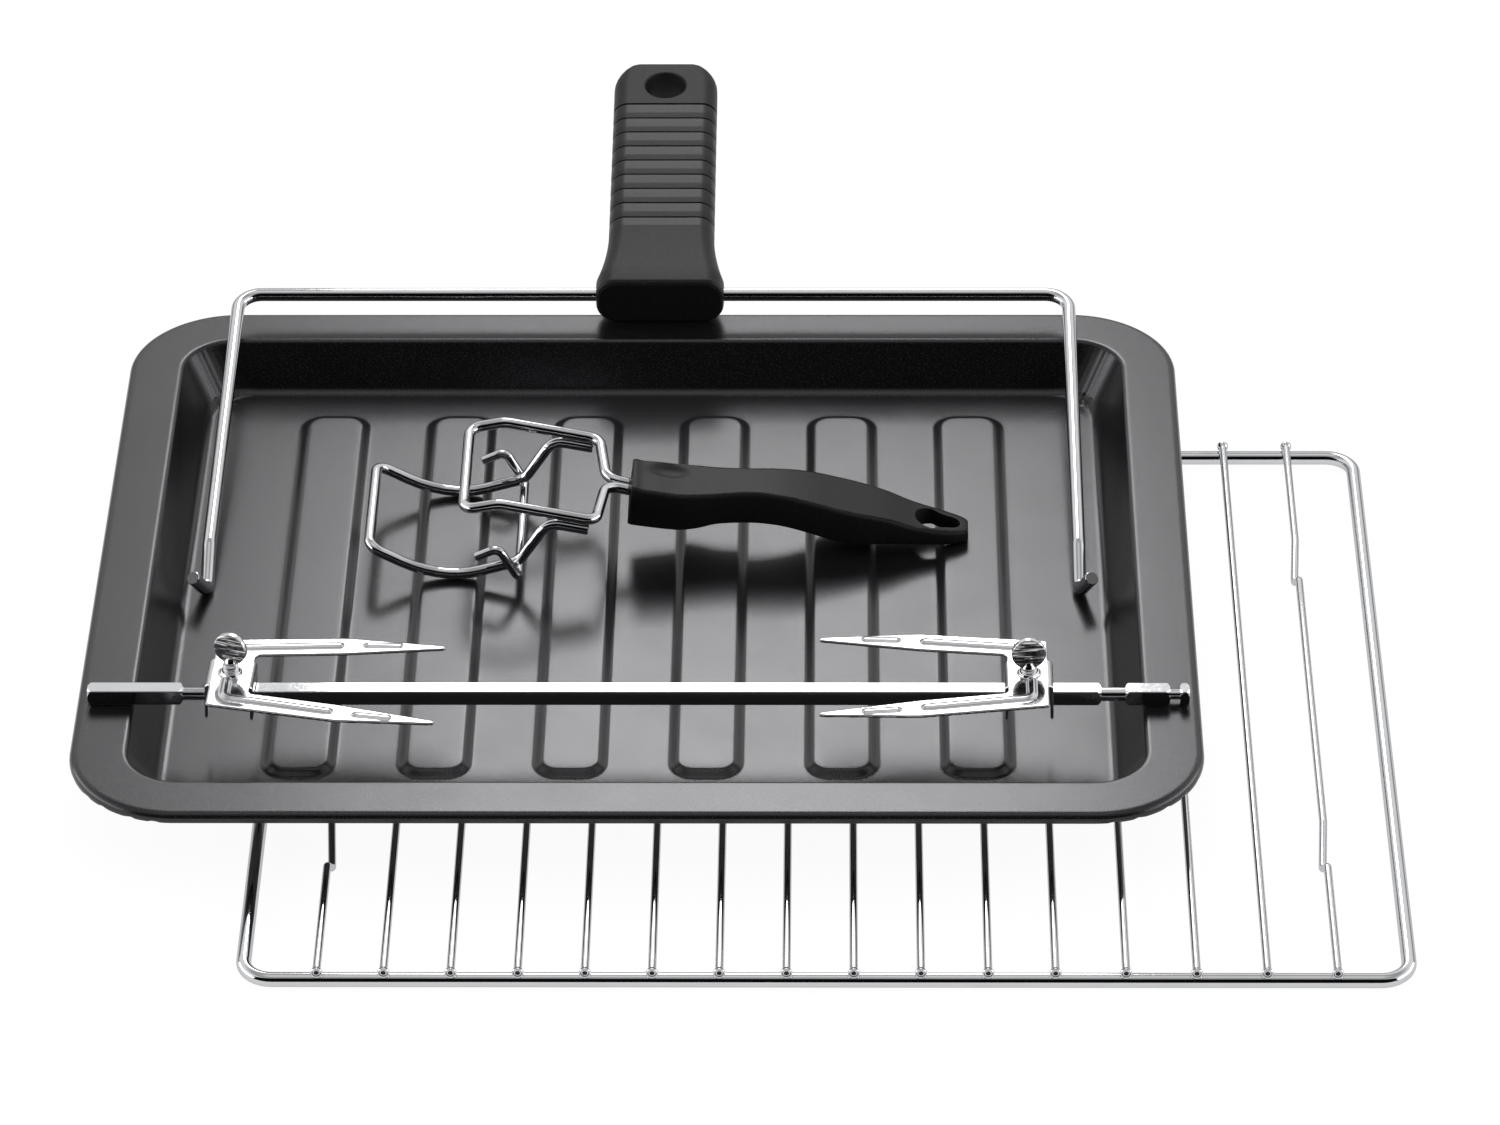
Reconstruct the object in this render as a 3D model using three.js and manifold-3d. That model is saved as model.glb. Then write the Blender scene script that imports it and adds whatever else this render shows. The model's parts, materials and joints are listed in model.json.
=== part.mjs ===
// Accessory set of a mini oven with a rotisserie: a wire rack that carries a baking tray,
// and in the tray a roasting spit with two forks, a spit lifter and a tray gripper.
// Millimetres, +X to the right, +Y away, +Z up. The origin is the middle of the tray's floor.
import * as THREE from 'three';
import { mergeVertices } from 'three/addons/utils/BufferGeometryUtils.js';
import Module from 'manifold-3d';

const wasm = await Module();
wasm.setup();

// ---- Driving dimensions ----------------------------------------------------------------

const seatGap = 0.3;              // between two pieces that rest on or are welded to each other

const rackLength = 405;           // between the centre lines of the two side wires
const rackDepth = 328.7;          // between the centre lines of the front and back wires
const rackShiftX = 67.7;          // rack middle from tray middle
const rackShiftY = -63.4;
const rackWire = 5.3;
const rackCorner = 10.5;          // bend radius of the frame's centre line
const rodCount = 16;
const rodFirst = 26.1;            // from the left wire's centre line to the first rod
const rodLast = 25.4;             // from the last rod to the right wire's centre line
const rodWideGaps = 4;            // the last gaps on the right are wider
const rodWidening = 1.15;
const rodWire = 2.9;
const rodFrontOverhang = 1.9;     // past the front wire's centre line
const rodBackOverhang = 2;
const notchDrop = 3.6;            // how far an anti-tilt notch dips under the rod
const notchRamp = 23;
const notchReturn = 3.5;
const notchEntryBend = 8;
const notchBend = 1.8;
const notchLean = 1.4;            // how far the notch leans to the rack's middle
const notchFar = 78;              // deepest points, from the rack's middle
const notchNear = -101;

const trayLength = 405;
const trayDepth = 332.2;
const trayCorner = 40;
const trayWellCorner = 15;        // least corner radius of the well
const traySheet = 0.8;
const trayWellDepth = 18.4;       // from the rim's top to the floor
const trayRim = 20.5;             // width of the rim, from the outer edge to the well's edge
const trayWallRun = 9.5;          // how far the wall leans in on its way down
const trayLip = 4;                // height of the folded outer edge
const trayLipRound = 2.6;
const trayLipTuck = 0.9;          // how far the lip's edge turns in, and how high
const trayLipTuckRise = 0.8;
const trayWellRound = 2.4;        // round between rim and wall
const trayFloorRound = 4;         // round between wall and floor
const ribCount = 6;
const ribPitch = 48.9;
const ribWidth = 27.5;
const ribRise = 2;
const ribFlank = 2.2;             // run of the rib's sloping edge
const ribCorner = 9.5;
const ribEndMargin = 16.7;        // from the rib's end to the floor's edge
const ribRoot = 1.2;              // how deep the rib's skin reaches into the floor's sheet

const spitBar = 6;                // square
const spitY = -97;
const spitEndInset = 4.2;         // from the tray's outer edge to the spit's end
const spitNeck = 5;
const spitDriveLength = 33.7;     // the left square end
const spitDriveNeck = 6.5;
const spitKnob = 3.6;             // the right end, from its tip inwards
const spitKnobNeck = 3.9;
const spitKnobNeckSize = 3.8;
const spitBearingSquare = 15.5;
const spitBearingNeck = 10;
const spitChamfer = 1.25;

const forkSheet = 1.2;
const forkFoldInset = 1.75;       // the web's outer edge stands in from the folded side
const forkBracket = 16.3;         // between the middles of the two bracket sides
const forkWebWidth = 40.6;        // across the bar
const forkWebRise = 9.3;          // from the bar's middle to the web's top
const forkSideWidth = 16;
const forkSideDrop = 5.6;         // from the bar's middle to the side's lower edge
const forkHoleClearance = 0.85;
const forkProngReach = 75.2;      // from the screw to the tip
const forkKneeReach = 39.5;
const forkKneeSpan = 51;          // across both prongs, outside
const forkKneeWidth = 9.6;
const forkProngRoot = 9.2;        // width where the prong leaves the web
const forkTipSpan = 48.2;
const forkTipWidth = 1.6;
const forkLeftInset = 51.7;       // from the spit's end to the fork's screw
const forkRightInset = 57.7;
const forkLeftDroop = 2.2;        // degrees that the fork tips on the bar
const forkRightDroop = 1;
const forkLeftSwing = -2.4;       // degrees that the fork swings on the bar, seen from above
const forkRightSwing = 0;

const screwThread = 5.8;
const screwClearance = 0.4;
const screwHead = 12.4;
const screwHeadThickness = 2.4;
const screwHeadRise = 10.6;       // from the web's top to the head's middle
const screwFoot = 3.4;
const screwFootGap = 0.45;
const screwLeftTurn = -15.6;      // degrees that the head stands turned about its axis
const screwRightTurn = 4;
const screwLeftSunk = 0;          // how much further the screw is turned in
const screwRightSunk = 2;

const lifterWire = 5.2;
const lifterSideGap = 9.65;       // from the floor's edge to the middle of the leg at the hook
const lifterSplay = 0.95;         // how much wider each leg stands at the hook
const lifterLean = -0.85;         // how far both hooks stand to one side
const lifterLeg = 146.3;
const lifterCorner = 9;
const lifterHookRun = 19.7;       // hook: forward and down, then up and outward
const lifterHookDrop = 5.4;
const lifterHookBend = 4.4;
const lifterTipRun = 5.3;
const lifterTipRise = 11;
const lifterTipSide = 4.2;
const lifterRimInset = 6.2;       // from the tray's far edge to where the grip rests

const gripLength = 144;
const gripShift = 2.5;            // from the crossbar's middle to the grip's middle
const gripFront = 5;              // from the front face to the wire's middle
const gripBaseWidth = 50;
const gripBaseHeight = 21;
const gripBodyWidth = 41.6;
const gripBodyHeight = 17;
const gripTipHeight = 14.5;
const gripFlareEnd = 38;          // from the wire's middle
const gripRound = 6;
const gripEdge = 2;
const gripHole = 15.7;
const gripHoleInset = 16;         // from the end of the grip to the hole's middle

const gripperY = 33;
const gripperHalf = 27.8;         // from the gripper's middle to the middle of a side wire
const gripperWire = 4.1;
const gripperHookWire = 3.4;
const gripperCorner = 5;
const gripperStemLength = 13;     // how deep the stem sits in the handle
const gripperStemX = -15;         // where the two stem wires part
const gripperFrontX = -18.2;      // front of the upper loop
const gripperTopX = -54;          // highest point of the upper loop
const gripperBackX = -67.3;       // crossbar of the upper loop
const gripperFrontZ = 23.6;       // heights of wire middles above the belly's middle
const gripperStemZ = 22.6;
const gripperStemDrop = 0.25;     // fall of the stem towards the handle, per length
const gripperTopZ = 31.2;
const gripperBackZ = 28.6;
const gripperWeldStart = -21;     // the lower loop's ends, welded under the upper loop
const gripperWeldEnd = -36;
const gripperDropX = -47.2;
const gripperDropZ = 5.5;
const gripperWeldBend = 7;
const gripperDropBend = 9;
const gripperBellyX = -69.5;
const gripperBellySag = 1;        // its corner lies lower than the bent wire
const gripperBellyBend = 45;
const gripperRiseX = -85;
const gripperRiseZ = 2;
const gripperToeX = -103;
const gripperToeZ = 12;
const hookReach = 4.8;            // the hook wire's ends, past the side wires
const hookTopX = -54.5;
const hookTopZ = 14.6;
const hookTipX = -63;
const hookTipZ = 10.6;
const hookTopBend = 3.2;
const hookFootBend = 2.6;

const handleStartX = -4.8;
const handleEndX = 121;
const handleRound = 2.2;
const handleBore = 0.3;           // clearance round the stem wires
const handleHoleLength = 17;
const handleHoleWidth = 13;
const handleHoleTip = 1.8;        // width of its narrow end
const handleHoleInset = 11.6;     // from the handle's end to the hole's middle

// ---- Derived places --------------------------------------------------------------------

const rodRun = rackLength - rodFirst - rodLast;
const rodPitch = (rodRun - rodWideGaps * rodWidening) / (rodCount - 1);
const rodZ = rackWire + seatGap + rodWire / 2;
const floorZ = rodZ + rodWire / 2 + seatGap + traySheet;
const rimZ = floorZ + trayWellDepth;
const ribTopZ = floorZ + ribRise;
const floorHalfLength = trayLength / 2 - trayRim - trayWallRun;
const floorHalfDepth = trayDepth / 2 - trayRim - trayWallRun;
const spitZ = rimZ + seatGap + spitBar / 2;
const spitHalf = trayLength / 2 - spitEndInset;
const radians = Math.PI / 180;

// ---- Finishes --------------------------------------------------------------------------

const chrome = new THREE.MeshStandardMaterial({ color: 0xd6d8da, roughness: 0.12, metalness: 1 });
const steel = new THREE.MeshStandardMaterial({ color: 0xc4c6c8, roughness: 0.3, metalness: 1 });
const enamel = new THREE.MeshStandardMaterial({ color: 0x2e2f31, roughness: 0.5, metalness: 0.3 });
const plastic = new THREE.MeshStandardMaterial({ color: 0x1d1e20, roughness: 0.6, metalness: 0 });

// ---- Solids ----------------------------------------------------------------------------

function solid(geometry) {
  const bare = geometry.clone();
  bare.deleteAttribute('normal');
  bare.deleteAttribute('uv');
  const merged = mergeVertices(bare, 1e-4);
  const mesh = new wasm.Mesh({
    numProp: 3,
    vertProperties: new Float32Array(merged.attributes.position.array),
    triVerts: new Uint32Array(merged.index.array),
  });
  return new wasm.Manifold(mesh);
}

function geometryOf(body) {
  const mesh = body.getMesh();
  const geometry = new THREE.BufferGeometry();
  geometry.setAttribute('position', new THREE.Float32BufferAttribute(mesh.vertProperties, 3));
  geometry.setIndex(Array.from(mesh.triVerts));
  geometry.computeVertexNormals();
  return geometry;
}

// A closed skin over a row of rings that have the same number of points, with flat ends.
function skin(rings) {
  const count = rings[0].length;
  const points = rings.flat();
  const faces = [];
  for (let i = 0; i + 1 < rings.length; i += 1) {
    for (let j = 0; j < count; j += 1) {
      const next = (j + 1) % count;
      const here = i * count;
      const there = here + count;
      faces.push(here + j, here + next, there + next);
      faces.push(here + j, there + next, there + j);
    }
  }
  for (const [ring, start] of [[rings[0], 0], [rings.at(-1), (rings.length - 1) * count]]) {
    const middle = new THREE.Vector3();
    ring.forEach((point) => middle.addScaledVector(point, 1 / count));
    points.push(middle);
    for (let j = 0; j < count; j += 1) {
      const next = (j + 1) % count;
      const pair = start === 0 ? [next, j] : [j, next];
      faces.push(points.length - 1, start + pair[0], start + pair[1]);
    }
  }
  const geometry = new THREE.BufferGeometry();
  geometry.setAttribute('position', new THREE.Float32BufferAttribute(points.flatMap((p) => p.toArray()), 3));
  geometry.setIndex(faces);
  geometry.computeVertexNormals();
  return geometry;
}

// The points of a rectangle with round corners, counter-clockwise about its middle.
function roundedRectangle(halfX, halfY, radius, steps) {
  const points = [];
  const corner = Math.min(radius, halfX * 0.999, halfY * 0.999);
  for (const [signX, signY, start] of [[1, 1, 0], [-1, 1, 90], [-1, -1, 180], [1, -1, 270]]) {
    for (let i = 0; i <= steps; i += 1) {
      const angle = (start + (90 * i) / steps) * radians;
      points.push(new THREE.Vector2(
        signX * (halfX - corner) + corner * Math.cos(angle),
        signY * (halfY - corner) + corner * Math.sin(angle),
      ));
    }
  }
  return points;
}

// A wire's middle line: straight runs between corners, each corner bent to its own radius.
class BentWire extends THREE.Curve {
  constructor(corners, stepsPerBend) {
    super();
    this.points = [corners[0].at];
    for (let i = 1; i + 1 < corners.length; i += 1) {
      const corner = corners[i].at;
      const back = corners[i - 1].at.clone().sub(corner);
      const ahead = corners[i + 1].at.clone().sub(corner);
      const room = Math.min(back.length(), ahead.length()) * 0.49;
      back.normalize();
      ahead.normalize();
      const half = back.angleTo(ahead) / 2;
      const reach = Math.min(corners[i].bend / Math.tan(half), room);
      const radius = reach * Math.tan(half);
      const inward = back.clone().add(ahead).normalize();
      const centre = corner.clone().addScaledVector(inward, radius / Math.sin(half));
      const from = corner.clone().addScaledVector(back, reach).sub(centre);
      const to = corner.clone().addScaledVector(ahead, reach).sub(centre);
      const sweep = from.angleTo(to);
      const axis = from.clone().cross(to).normalize();
      for (let k = 0; k <= stepsPerBend; k += 1) {
        this.points.push(from.clone().applyAxisAngle(axis, (sweep * k) / stepsPerBend).add(centre));
      }
    }
    this.points.push(corners.at(-1).at);
  }

  getUtoTmapping(u) {
    return u;
  }

  getPoint(t, target = new THREE.Vector3()) {
    const place = Math.min(Math.max(t, 0), 1) * (this.points.length - 1);
    const index = Math.min(Math.floor(place), this.points.length - 2);
    return target.lerpVectors(this.points[index], this.points[index + 1], place - index);
  }
}

function corner(x, y, z, bend = 0) {
  return { at: new THREE.Vector3(x, y, z), bend };
}

function wire(corners, size, sides = 10, stepsPerBend = 6) {
  const route = new BentWire(corners, stepsPerBend);
  const section = new THREE.Shape();
  for (let i = 0; i < sides; i += 1) {
    const angle = (2 * Math.PI * i) / sides;
    const along = i === 0 ? 'moveTo' : 'lineTo';
    section[along]((size / 2) * Math.cos(angle), (size / 2) * Math.sin(angle));
  }
  section.closePath();
  const steps = route.points.length - 1;
  return new THREE.ExtrudeGeometry(section, { steps, extrudePath: route, bevelEnabled: false });
}

function cylinderAlongX(radius, length, x, y, z) {
  const geometry = new THREE.CylinderGeometry(radius, radius, length, 20);
  geometry.rotateZ(Math.PI / 2);
  geometry.translate(x, y, z);
  return geometry;
}

const assembly = new THREE.Group();
assembly.position.z = -floorZ;

function place(name, geometry, material, parent = assembly) {
  const mesh = new THREE.Mesh(geometry, material);
  mesh.name = name;
  parent.add(mesh);
  return mesh;
}

// ---- Wire rack -------------------------------------------------------------------------

function rackFrame() {
  const halfX = rackLength / 2;
  const halfY = rackDepth / 2;
  const overlap = rackWire / 2;
  const halves = [-1, 1].map((side) => wire([
    corner(-side * overlap, -halfY, 0),
    corner(side * halfX, -halfY, 0, rackCorner),
    corner(side * halfX, halfY, 0, rackCorner),
    corner(-side * overlap, halfY, 0),
  ], rackWire, 12, 8));
  return geometryOf(solid(halves[0]).add(solid(halves[1])));
}

// The outermost rods dip in two notches, which stop the rack tipping when it is pulled out.
function rackRod(x, outermost) {
  const front = -rackDepth / 2 - rodFrontOverhang;
  const back = rackDepth / 2 + rodBackOverhang;
  const corners = [corner(x, back, 0)];
  for (const low of outermost ? [notchFar, notchNear] : []) {
    const inside = x - Math.sign(x) * notchLean;
    corners.push(corner(x, low + notchRamp, 0, notchEntryBend));
    corners.push(corner(inside, low, -notchDrop, notchBend));
    corners.push(corner(x, low - notchReturn, 0, notchBend));
  }
  corners.push(corner(x, front, 0));
  return wire(corners, rodWire, 10, 4);
}

const rack = new THREE.Group();
rack.position.set(rackShiftX, rackShiftY, 0);
assembly.add(rack);
place('rack_frame', rackFrame(), chrome, rack).position.z = rackWire / 2;
for (let i = 0; i < rodCount; i += 1) {
  const wideGaps = Math.max(0, i - (rodCount - 1 - rodWideGaps));
  const x = -rackLength / 2 + rodFirst + i * rodPitch + wideGaps * rodWidening;
  const name = `rack_rod_${String(i + 1).padStart(2, '0')}`;
  place(name, rackRod(x, i === 0 || i === rodCount - 1), chrome, rack).position.z = rodZ;
}

// ---- Baking tray -----------------------------------------------------------------------

// An arc of the tray's section, as [distance in from the outer edge, height] pairs.
function sectionArc(inset, height, radius, from, to, steps) {
  const points = [];
  for (let i = 0; i <= steps; i += 1) {
    const angle = (from + ((to - from) * i) / steps) * radians;
    points.push(new THREE.Vector2(inset + radius * Math.cos(angle), height + radius * Math.sin(angle)));
  }
  return points;
}

// The upper side of the tray's sheet, from the edge of the lip over the rim down to the floor.
function traySection() {
  const slope = Math.atan2(trayWellDepth, trayWallRun) / radians;
  const wellReach = trayWellRound * Math.tan((slope / 2) * radians);
  const floorReach = trayFloorRound * Math.tan((slope / 2) * radians);
  return [
    new THREE.Vector2(trayLipTuck, rimZ - trayLip),
    new THREE.Vector2(0, rimZ - trayLip + trayLipTuckRise),
    ...sectionArc(trayLipRound, rimZ - trayLipRound, trayLipRound, 180, 90, 4),
    ...sectionArc(trayRim - wellReach, rimZ - trayWellRound, trayWellRound, 90, 90 - slope, 3),
    ...sectionArc(trayRim + trayWallRun + floorReach, floorZ + trayFloorRound, trayFloorRound,
      270 - slope, 270, 4),
  ];
}

// The same section moved to the sheet's lower side.
function lowerSection(section) {
  return section.map((point, i) => {
    const before = section[Math.max(i - 1, 0)];
    const after = section[Math.min(i + 1, section.length - 1)];
    const along = after.clone().sub(before).normalize();
    return new THREE.Vector2(point.x + along.y * traySheet, point.y - along.x * traySheet);
  });
}

function trayRing(point) {
  const corner = Math.max(trayCorner - point.x, trayWellCorner);
  const outline = roundedRectangle(trayLength / 2 - point.x, trayDepth / 2 - point.x, corner, 9);
  return outline.map((p) => new THREE.Vector3(p.x, p.y, point.y));
}

function ribBody(x, inset, drop) {
  const half = floorHalfDepth - ribEndMargin;
  const levels = [[0, -ribRoot], [0, 0], [ribFlank, ribRise]];
  return solid(skin(levels.map(([narrower, height]) => {
    const less = inset + narrower;
    const outline = roundedRectangle(ribWidth / 2 - less, half - less, ribCorner - narrower / 2, 4);
    return outline.map((p) => new THREE.Vector3(x + p.x, p.y, floorZ + height - drop));
  })));
}

function bakingTray() {
  const upper = traySection();
  const lower = lowerSection(upper).reverse();
  let tray = solid(skin([...lower, ...upper].map(trayRing)));
  for (let i = 0; i < ribCount; i += 1) {
    const x = (i - (ribCount - 1) / 2) * ribPitch;
    tray = tray.add(ribBody(x, 0, 0).subtract(ribBody(x, -1, ribRoot + traySheet / 2)));
    tray = tray.subtract(ribBody(x, traySheet / 2, traySheet));
  }
  return geometryOf(tray);
}

place('baking_tray', bakingTray(), enamel);

// ---- Roasting spit ---------------------------------------------------------------------

// The square bar's turned outline: [position along the bar, radius] pairs, necks between squares.
function spitOutline() {
  const full = spitBar * 0.75;
  const neck = spitNeck / 2;
  const knobNeck = spitKnobNeckSize / 2;
  const flat = spitBar / 2;
  const chamferTo = flat * Math.SQRT2;
  const run = (chamferTo - flat) + 0.02;
  const squares = [
    [-spitHalf, -spitHalf + spitDriveLength, neck],
    [-spitHalf + spitDriveLength + spitDriveNeck,
      spitHalf - spitKnob - spitKnobNeck - spitBearingSquare - spitBearingNeck, neck],
    [spitHalf - spitKnob - spitKnobNeck - spitBearingSquare, spitHalf - spitKnob - spitKnobNeck, knobNeck],
    [spitHalf - spitKnob, spitHalf, knobNeck],
  ];
  const outline = [new THREE.Vector2(0, -spitHalf)];
  squares.forEach(([start, end, neckAfter], i) => {
    const chamfer = Math.min(spitChamfer, run, (end - start) / 3);
    const low = chamferTo - chamfer;
    outline.push(new THREE.Vector2(low, start));
    outline.push(new THREE.Vector2(full, start + chamfer + full - chamferTo));
    outline.push(new THREE.Vector2(full, end - chamfer - full + chamferTo));
    outline.push(new THREE.Vector2(low, end));
    if (i + 1 < squares.length) {
      outline.push(new THREE.Vector2(neckAfter, end));
      outline.push(new THREE.Vector2(neckAfter, squares[i + 1][0]));
    }
  });
  outline.push(new THREE.Vector2(0, spitHalf));
  return outline;
}

function spitBarBody() {
  const turned = new THREE.LatheGeometry(spitOutline(), 32);
  turned.rotateZ(-Math.PI / 2);
  const square = new THREE.BoxGeometry(spitHalf * 2 + 2, spitBar, spitBar);
  return geometryOf(solid(turned).intersect(solid(square)));
}

const spit = new THREE.Group();
spit.position.set(0, spitY, spitZ);
assembly.add(spit);
place('spit_bar', spitBarBody(), chrome, spit);

// ---- Forks and thumbscrews -------------------------------------------------------------

// The fork seen from above, its prongs along +X, the screw at the origin.
function forkPlate() {
  const side = forkBracket / 2 + forkSheet / 2;
  const root = forkWebWidth / 2 - forkProngRoot;
  const half = [
    [side, root],
    [forkKneeReach, forkKneeSpan / 2 - forkKneeWidth],
    [forkProngReach, forkTipSpan / 2 - forkTipWidth],
    [forkProngReach, forkTipSpan / 2],
    [forkKneeReach, forkKneeSpan / 2],
    [forkFoldInset - side, forkWebWidth / 2],
    [forkFoldInset - side, forkSideWidth / 2],
    [-side, forkSideWidth / 2],
  ];
  const outline = [...half, ...half.map(([x, y]) => [x, -y]).reverse()];
  const shape = new THREE.Shape(outline.map(([x, y]) => new THREE.Vector2(x, y)));
  const plate = new THREE.ExtrudeGeometry(shape, { depth: forkSheet, bevelEnabled: false });
  plate.translate(0, 0, forkWebRise - forkSheet);
  return solid(plate);
}

function forkBody() {
  const sideHeight = forkWebRise + forkSideDrop;
  let fork = forkPlate();
  for (const side of [-1, 1]) {
    const wall = new THREE.BoxGeometry(forkSheet, forkSideWidth, sideHeight);
    wall.translate((side * forkBracket) / 2, 0, forkWebRise - sideHeight / 2);
    fork = fork.add(solid(wall));
  }
  const opening = spitBar + 2 * forkHoleClearance;
  fork = fork.subtract(solid(new THREE.BoxGeometry(forkBracket * 2, opening, opening)));
  const screwHole = new THREE.CylinderGeometry(
    screwThread / 2 + screwClearance, screwThread / 2 + screwClearance, forkSheet * 4, 16);
  screwHole.rotateX(Math.PI / 2);
  screwHole.translate(0, 0, forkWebRise);
  return geometryOf(fork.subtract(solid(screwHole)));
}

function thumbscrewBody(sunk) {
  const footZ = spitBar / 2 + screwFootGap;
  const headZ = forkWebRise + screwHeadRise - sunk;
  const thread = screwThread / 2;
  const shank = new THREE.LatheGeometry([
    new THREE.Vector2(0, footZ),
    new THREE.Vector2(screwFoot / 2, footZ),
    new THREE.Vector2(thread, footZ + 1.2),
    new THREE.Vector2(thread, headZ - screwHead / 2 - 0.4),
    new THREE.Vector2(thread * 0.8, headZ - screwHead / 2 + 1),
    new THREE.Vector2(screwHeadThickness * 0.4, headZ - screwHead / 2 + 2.6),
    new THREE.Vector2(0, headZ - screwHead / 2 + 2.6),
  ], 16);
  shank.rotateX(Math.PI / 2);
  const head = new THREE.CylinderGeometry(screwHead / 2, screwHead / 2, screwHeadThickness, 28);
  head.translate(0, 0, headZ);
  return geometryOf(solid(shank).add(solid(head)));
}

function addFork(name, x, halfTurn, swing, droop, headTurn, sunk) {
  const seat = new THREE.Group();
  seat.position.x = x;
  seat.rotation.z = (halfTurn ? Math.PI : 0) + swing * radians;
  spit.add(seat);
  const tipped = new THREE.Group();
  tipped.rotation.y = droop * radians;
  seat.add(tipped);
  place(`fork_${name}`, forkBody(), chrome, tipped);
  place(`thumbscrew_${name}`, thumbscrewBody(sunk), steel, tipped).rotation.z =
    headTurn * radians;
}

addFork('left', -spitHalf + forkLeftInset, false, forkLeftSwing, forkLeftDroop, screwLeftTurn,
  screwLeftSunk);
addFork('right', spitHalf - forkRightInset, true, forkRightSwing, forkRightDroop, screwRightTurn,
  screwRightSunk);

// ---- Spit lifter -----------------------------------------------------------------------

// Drawn flat, with its crossbar on the X axis and the grip towards +Y.
const lifterHookHalf = floorHalfLength - lifterSideGap;

function lifterCorners(side) {
  const hookX = lifterLean + side * lifterHookHalf;
  const hookY = -lifterLeg - lifterHookRun;
  return [
    corner(side * (lifterHookHalf - lifterSplay), 0, 0, lifterCorner),
    corner(hookX, -lifterLeg, 0, lifterHookBend * 2),
    corner(hookX, hookY, -lifterHookDrop, lifterHookBend),
    corner(hookX + side * lifterTipSide, hookY - lifterTipRun, lifterTipRise - lifterHookDrop),
  ];
}

const lifterRoute = [...lifterCorners(-1).reverse(), ...lifterCorners(1)];

// The angle at which the hooks stand on the floor while the grip's lower front edge is on the rim.
function lifterTilt() {
  const pivot = new THREE.Vector3(0, -gripFront + gripEdge, -gripBaseHeight / 2);
  const hooks = new BentWire(lifterRoute, 6).points.map((point) => point.clone().sub(pivot));
  const wanted = floorZ - rimZ + lifterWire / 2;
  let low = 0;
  let high = 60 * radians;
  while (high - low > 1e-7) {
    const angle = (low + high) / 2;
    const heights = hooks.map((p) => p.y * Math.sin(angle) + p.z * Math.cos(angle));
    if (Math.min(...heights) > wanted) {
      low = angle;
    } else {
      high = angle;
    }
  }
  return low;
}

// The grip's sections: [along, width, height], from its front face to its end.
function gripSections() {
  const end = gripLength - gripFront;
  const sections = [
    [-gripFront, gripBaseWidth - 2 * gripEdge, gripBaseHeight - 2 * gripEdge],
    [-gripFront + gripEdge * 0.3, gripBaseWidth - gripEdge * 0.6, gripBaseHeight - gripEdge * 0.6],
    [-gripFront + gripEdge, gripBaseWidth, gripBaseHeight],
    [gripFront, gripBaseWidth, gripBaseHeight],
  ];
  for (let i = 1; i <= 5; i += 1) {
    const share = i / 5;
    const ease = 1 - (1 - share) ** 1.6;
    sections.push([
      gripFront + (gripFlareEnd - gripFront) * share,
      gripBaseWidth + (gripBodyWidth - gripBaseWidth) * ease,
      gripBaseHeight + (gripBodyHeight - gripBaseHeight) * ease,
    ]);
  }
  sections.push([end - gripRound, gripBodyWidth, gripTipHeight]);
  sections.push([end - gripRound * 0.35, gripBodyWidth - gripRound * 0.6, gripTipHeight - 0.8]);
  sections.push([end - gripRound * 0.08, gripBodyWidth - gripRound * 1.4, gripTipHeight - 2.4]);
  sections.push([end, gripBodyWidth - gripRound * 2, gripTipHeight - 4]);
  return sections;
}

function gripBody() {
  const rings = gripSections().map(([along, width, height]) => (
    roundedRectangle(width / 2, height / 2, Math.min(gripRound, height / 2.2), 4)
      .map((p) => new THREE.Vector3(-p.x, along, p.y))
  ));
  const bore = cylinderAlongX(lifterWire / 2 + seatGap, gripBaseWidth + 4, 0, 0, 0);
  const hole = new THREE.CylinderGeometry(gripHole / 2, gripHole / 2, gripBaseHeight * 2, 28);
  hole.rotateX(Math.PI / 2);
  hole.translate(0, gripLength - gripFront - gripHoleInset, 0);
  return geometryOf(solid(skin(rings)).subtract(solid(bore)).subtract(solid(hole)));
}

const lifter = new THREE.Group();
lifter.position.set(0, trayDepth / 2 - lifterRimInset, rimZ + seatGap);
lifter.rotation.x = lifterTilt();
assembly.add(lifter);
const lifterOffset = new THREE.Vector3(0, gripFront - gripEdge, gripBaseHeight / 2);
place('lifter_wire', wire(lifterRoute, lifterWire, 12, 6), chrome, lifter).position.copy(lifterOffset);
place('lifter_grip', gripBody(), plastic, lifter).position.copy(lifterOffset).setX(gripShift);

// ---- Tray gripper ----------------------------------------------------------------------

// Heights here are measured from the middle of the wire at the belly, which lies on a rib.
const gripper = new THREE.Group();
gripper.position.set(0, gripperY, ribTopZ + seatGap + gripperWire / 2);
assembly.add(gripper);
const stemHalf = gripperWire / 2 + seatGap / 2;
const stemEndX = handleStartX + gripperStemLength;
const stemEndZ = gripperStemZ - gripperStemDrop * (stemEndX - gripperStemX);

function upperLoop() {
  const side = (sign) => [
    corner(stemEndX, sign * stemHalf, stemEndZ),
    corner(gripperStemX, sign * stemHalf, gripperStemZ, gripperCorner / 2),
    corner(gripperFrontX, sign * gripperHalf, gripperFrontZ, gripperCorner),
    corner(gripperTopX, sign * gripperHalf, gripperTopZ, gripperCorner * 2),
    corner(gripperBackX, sign * gripperHalf, gripperBackZ, gripperCorner),
  ];
  return wire([...side(1), ...side(-1).reverse()], gripperWire, 10, 5);
}

// Height of the upper loop's side wire between its front and its highest point.
function upperSideHeight(x) {
  const share = (x - gripperFrontX) / (gripperTopX - gripperFrontX);
  return gripperFrontZ + (gripperTopZ - gripperFrontZ) * share;
}

const weldDrop = gripperWire + seatGap * 1.3;

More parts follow.
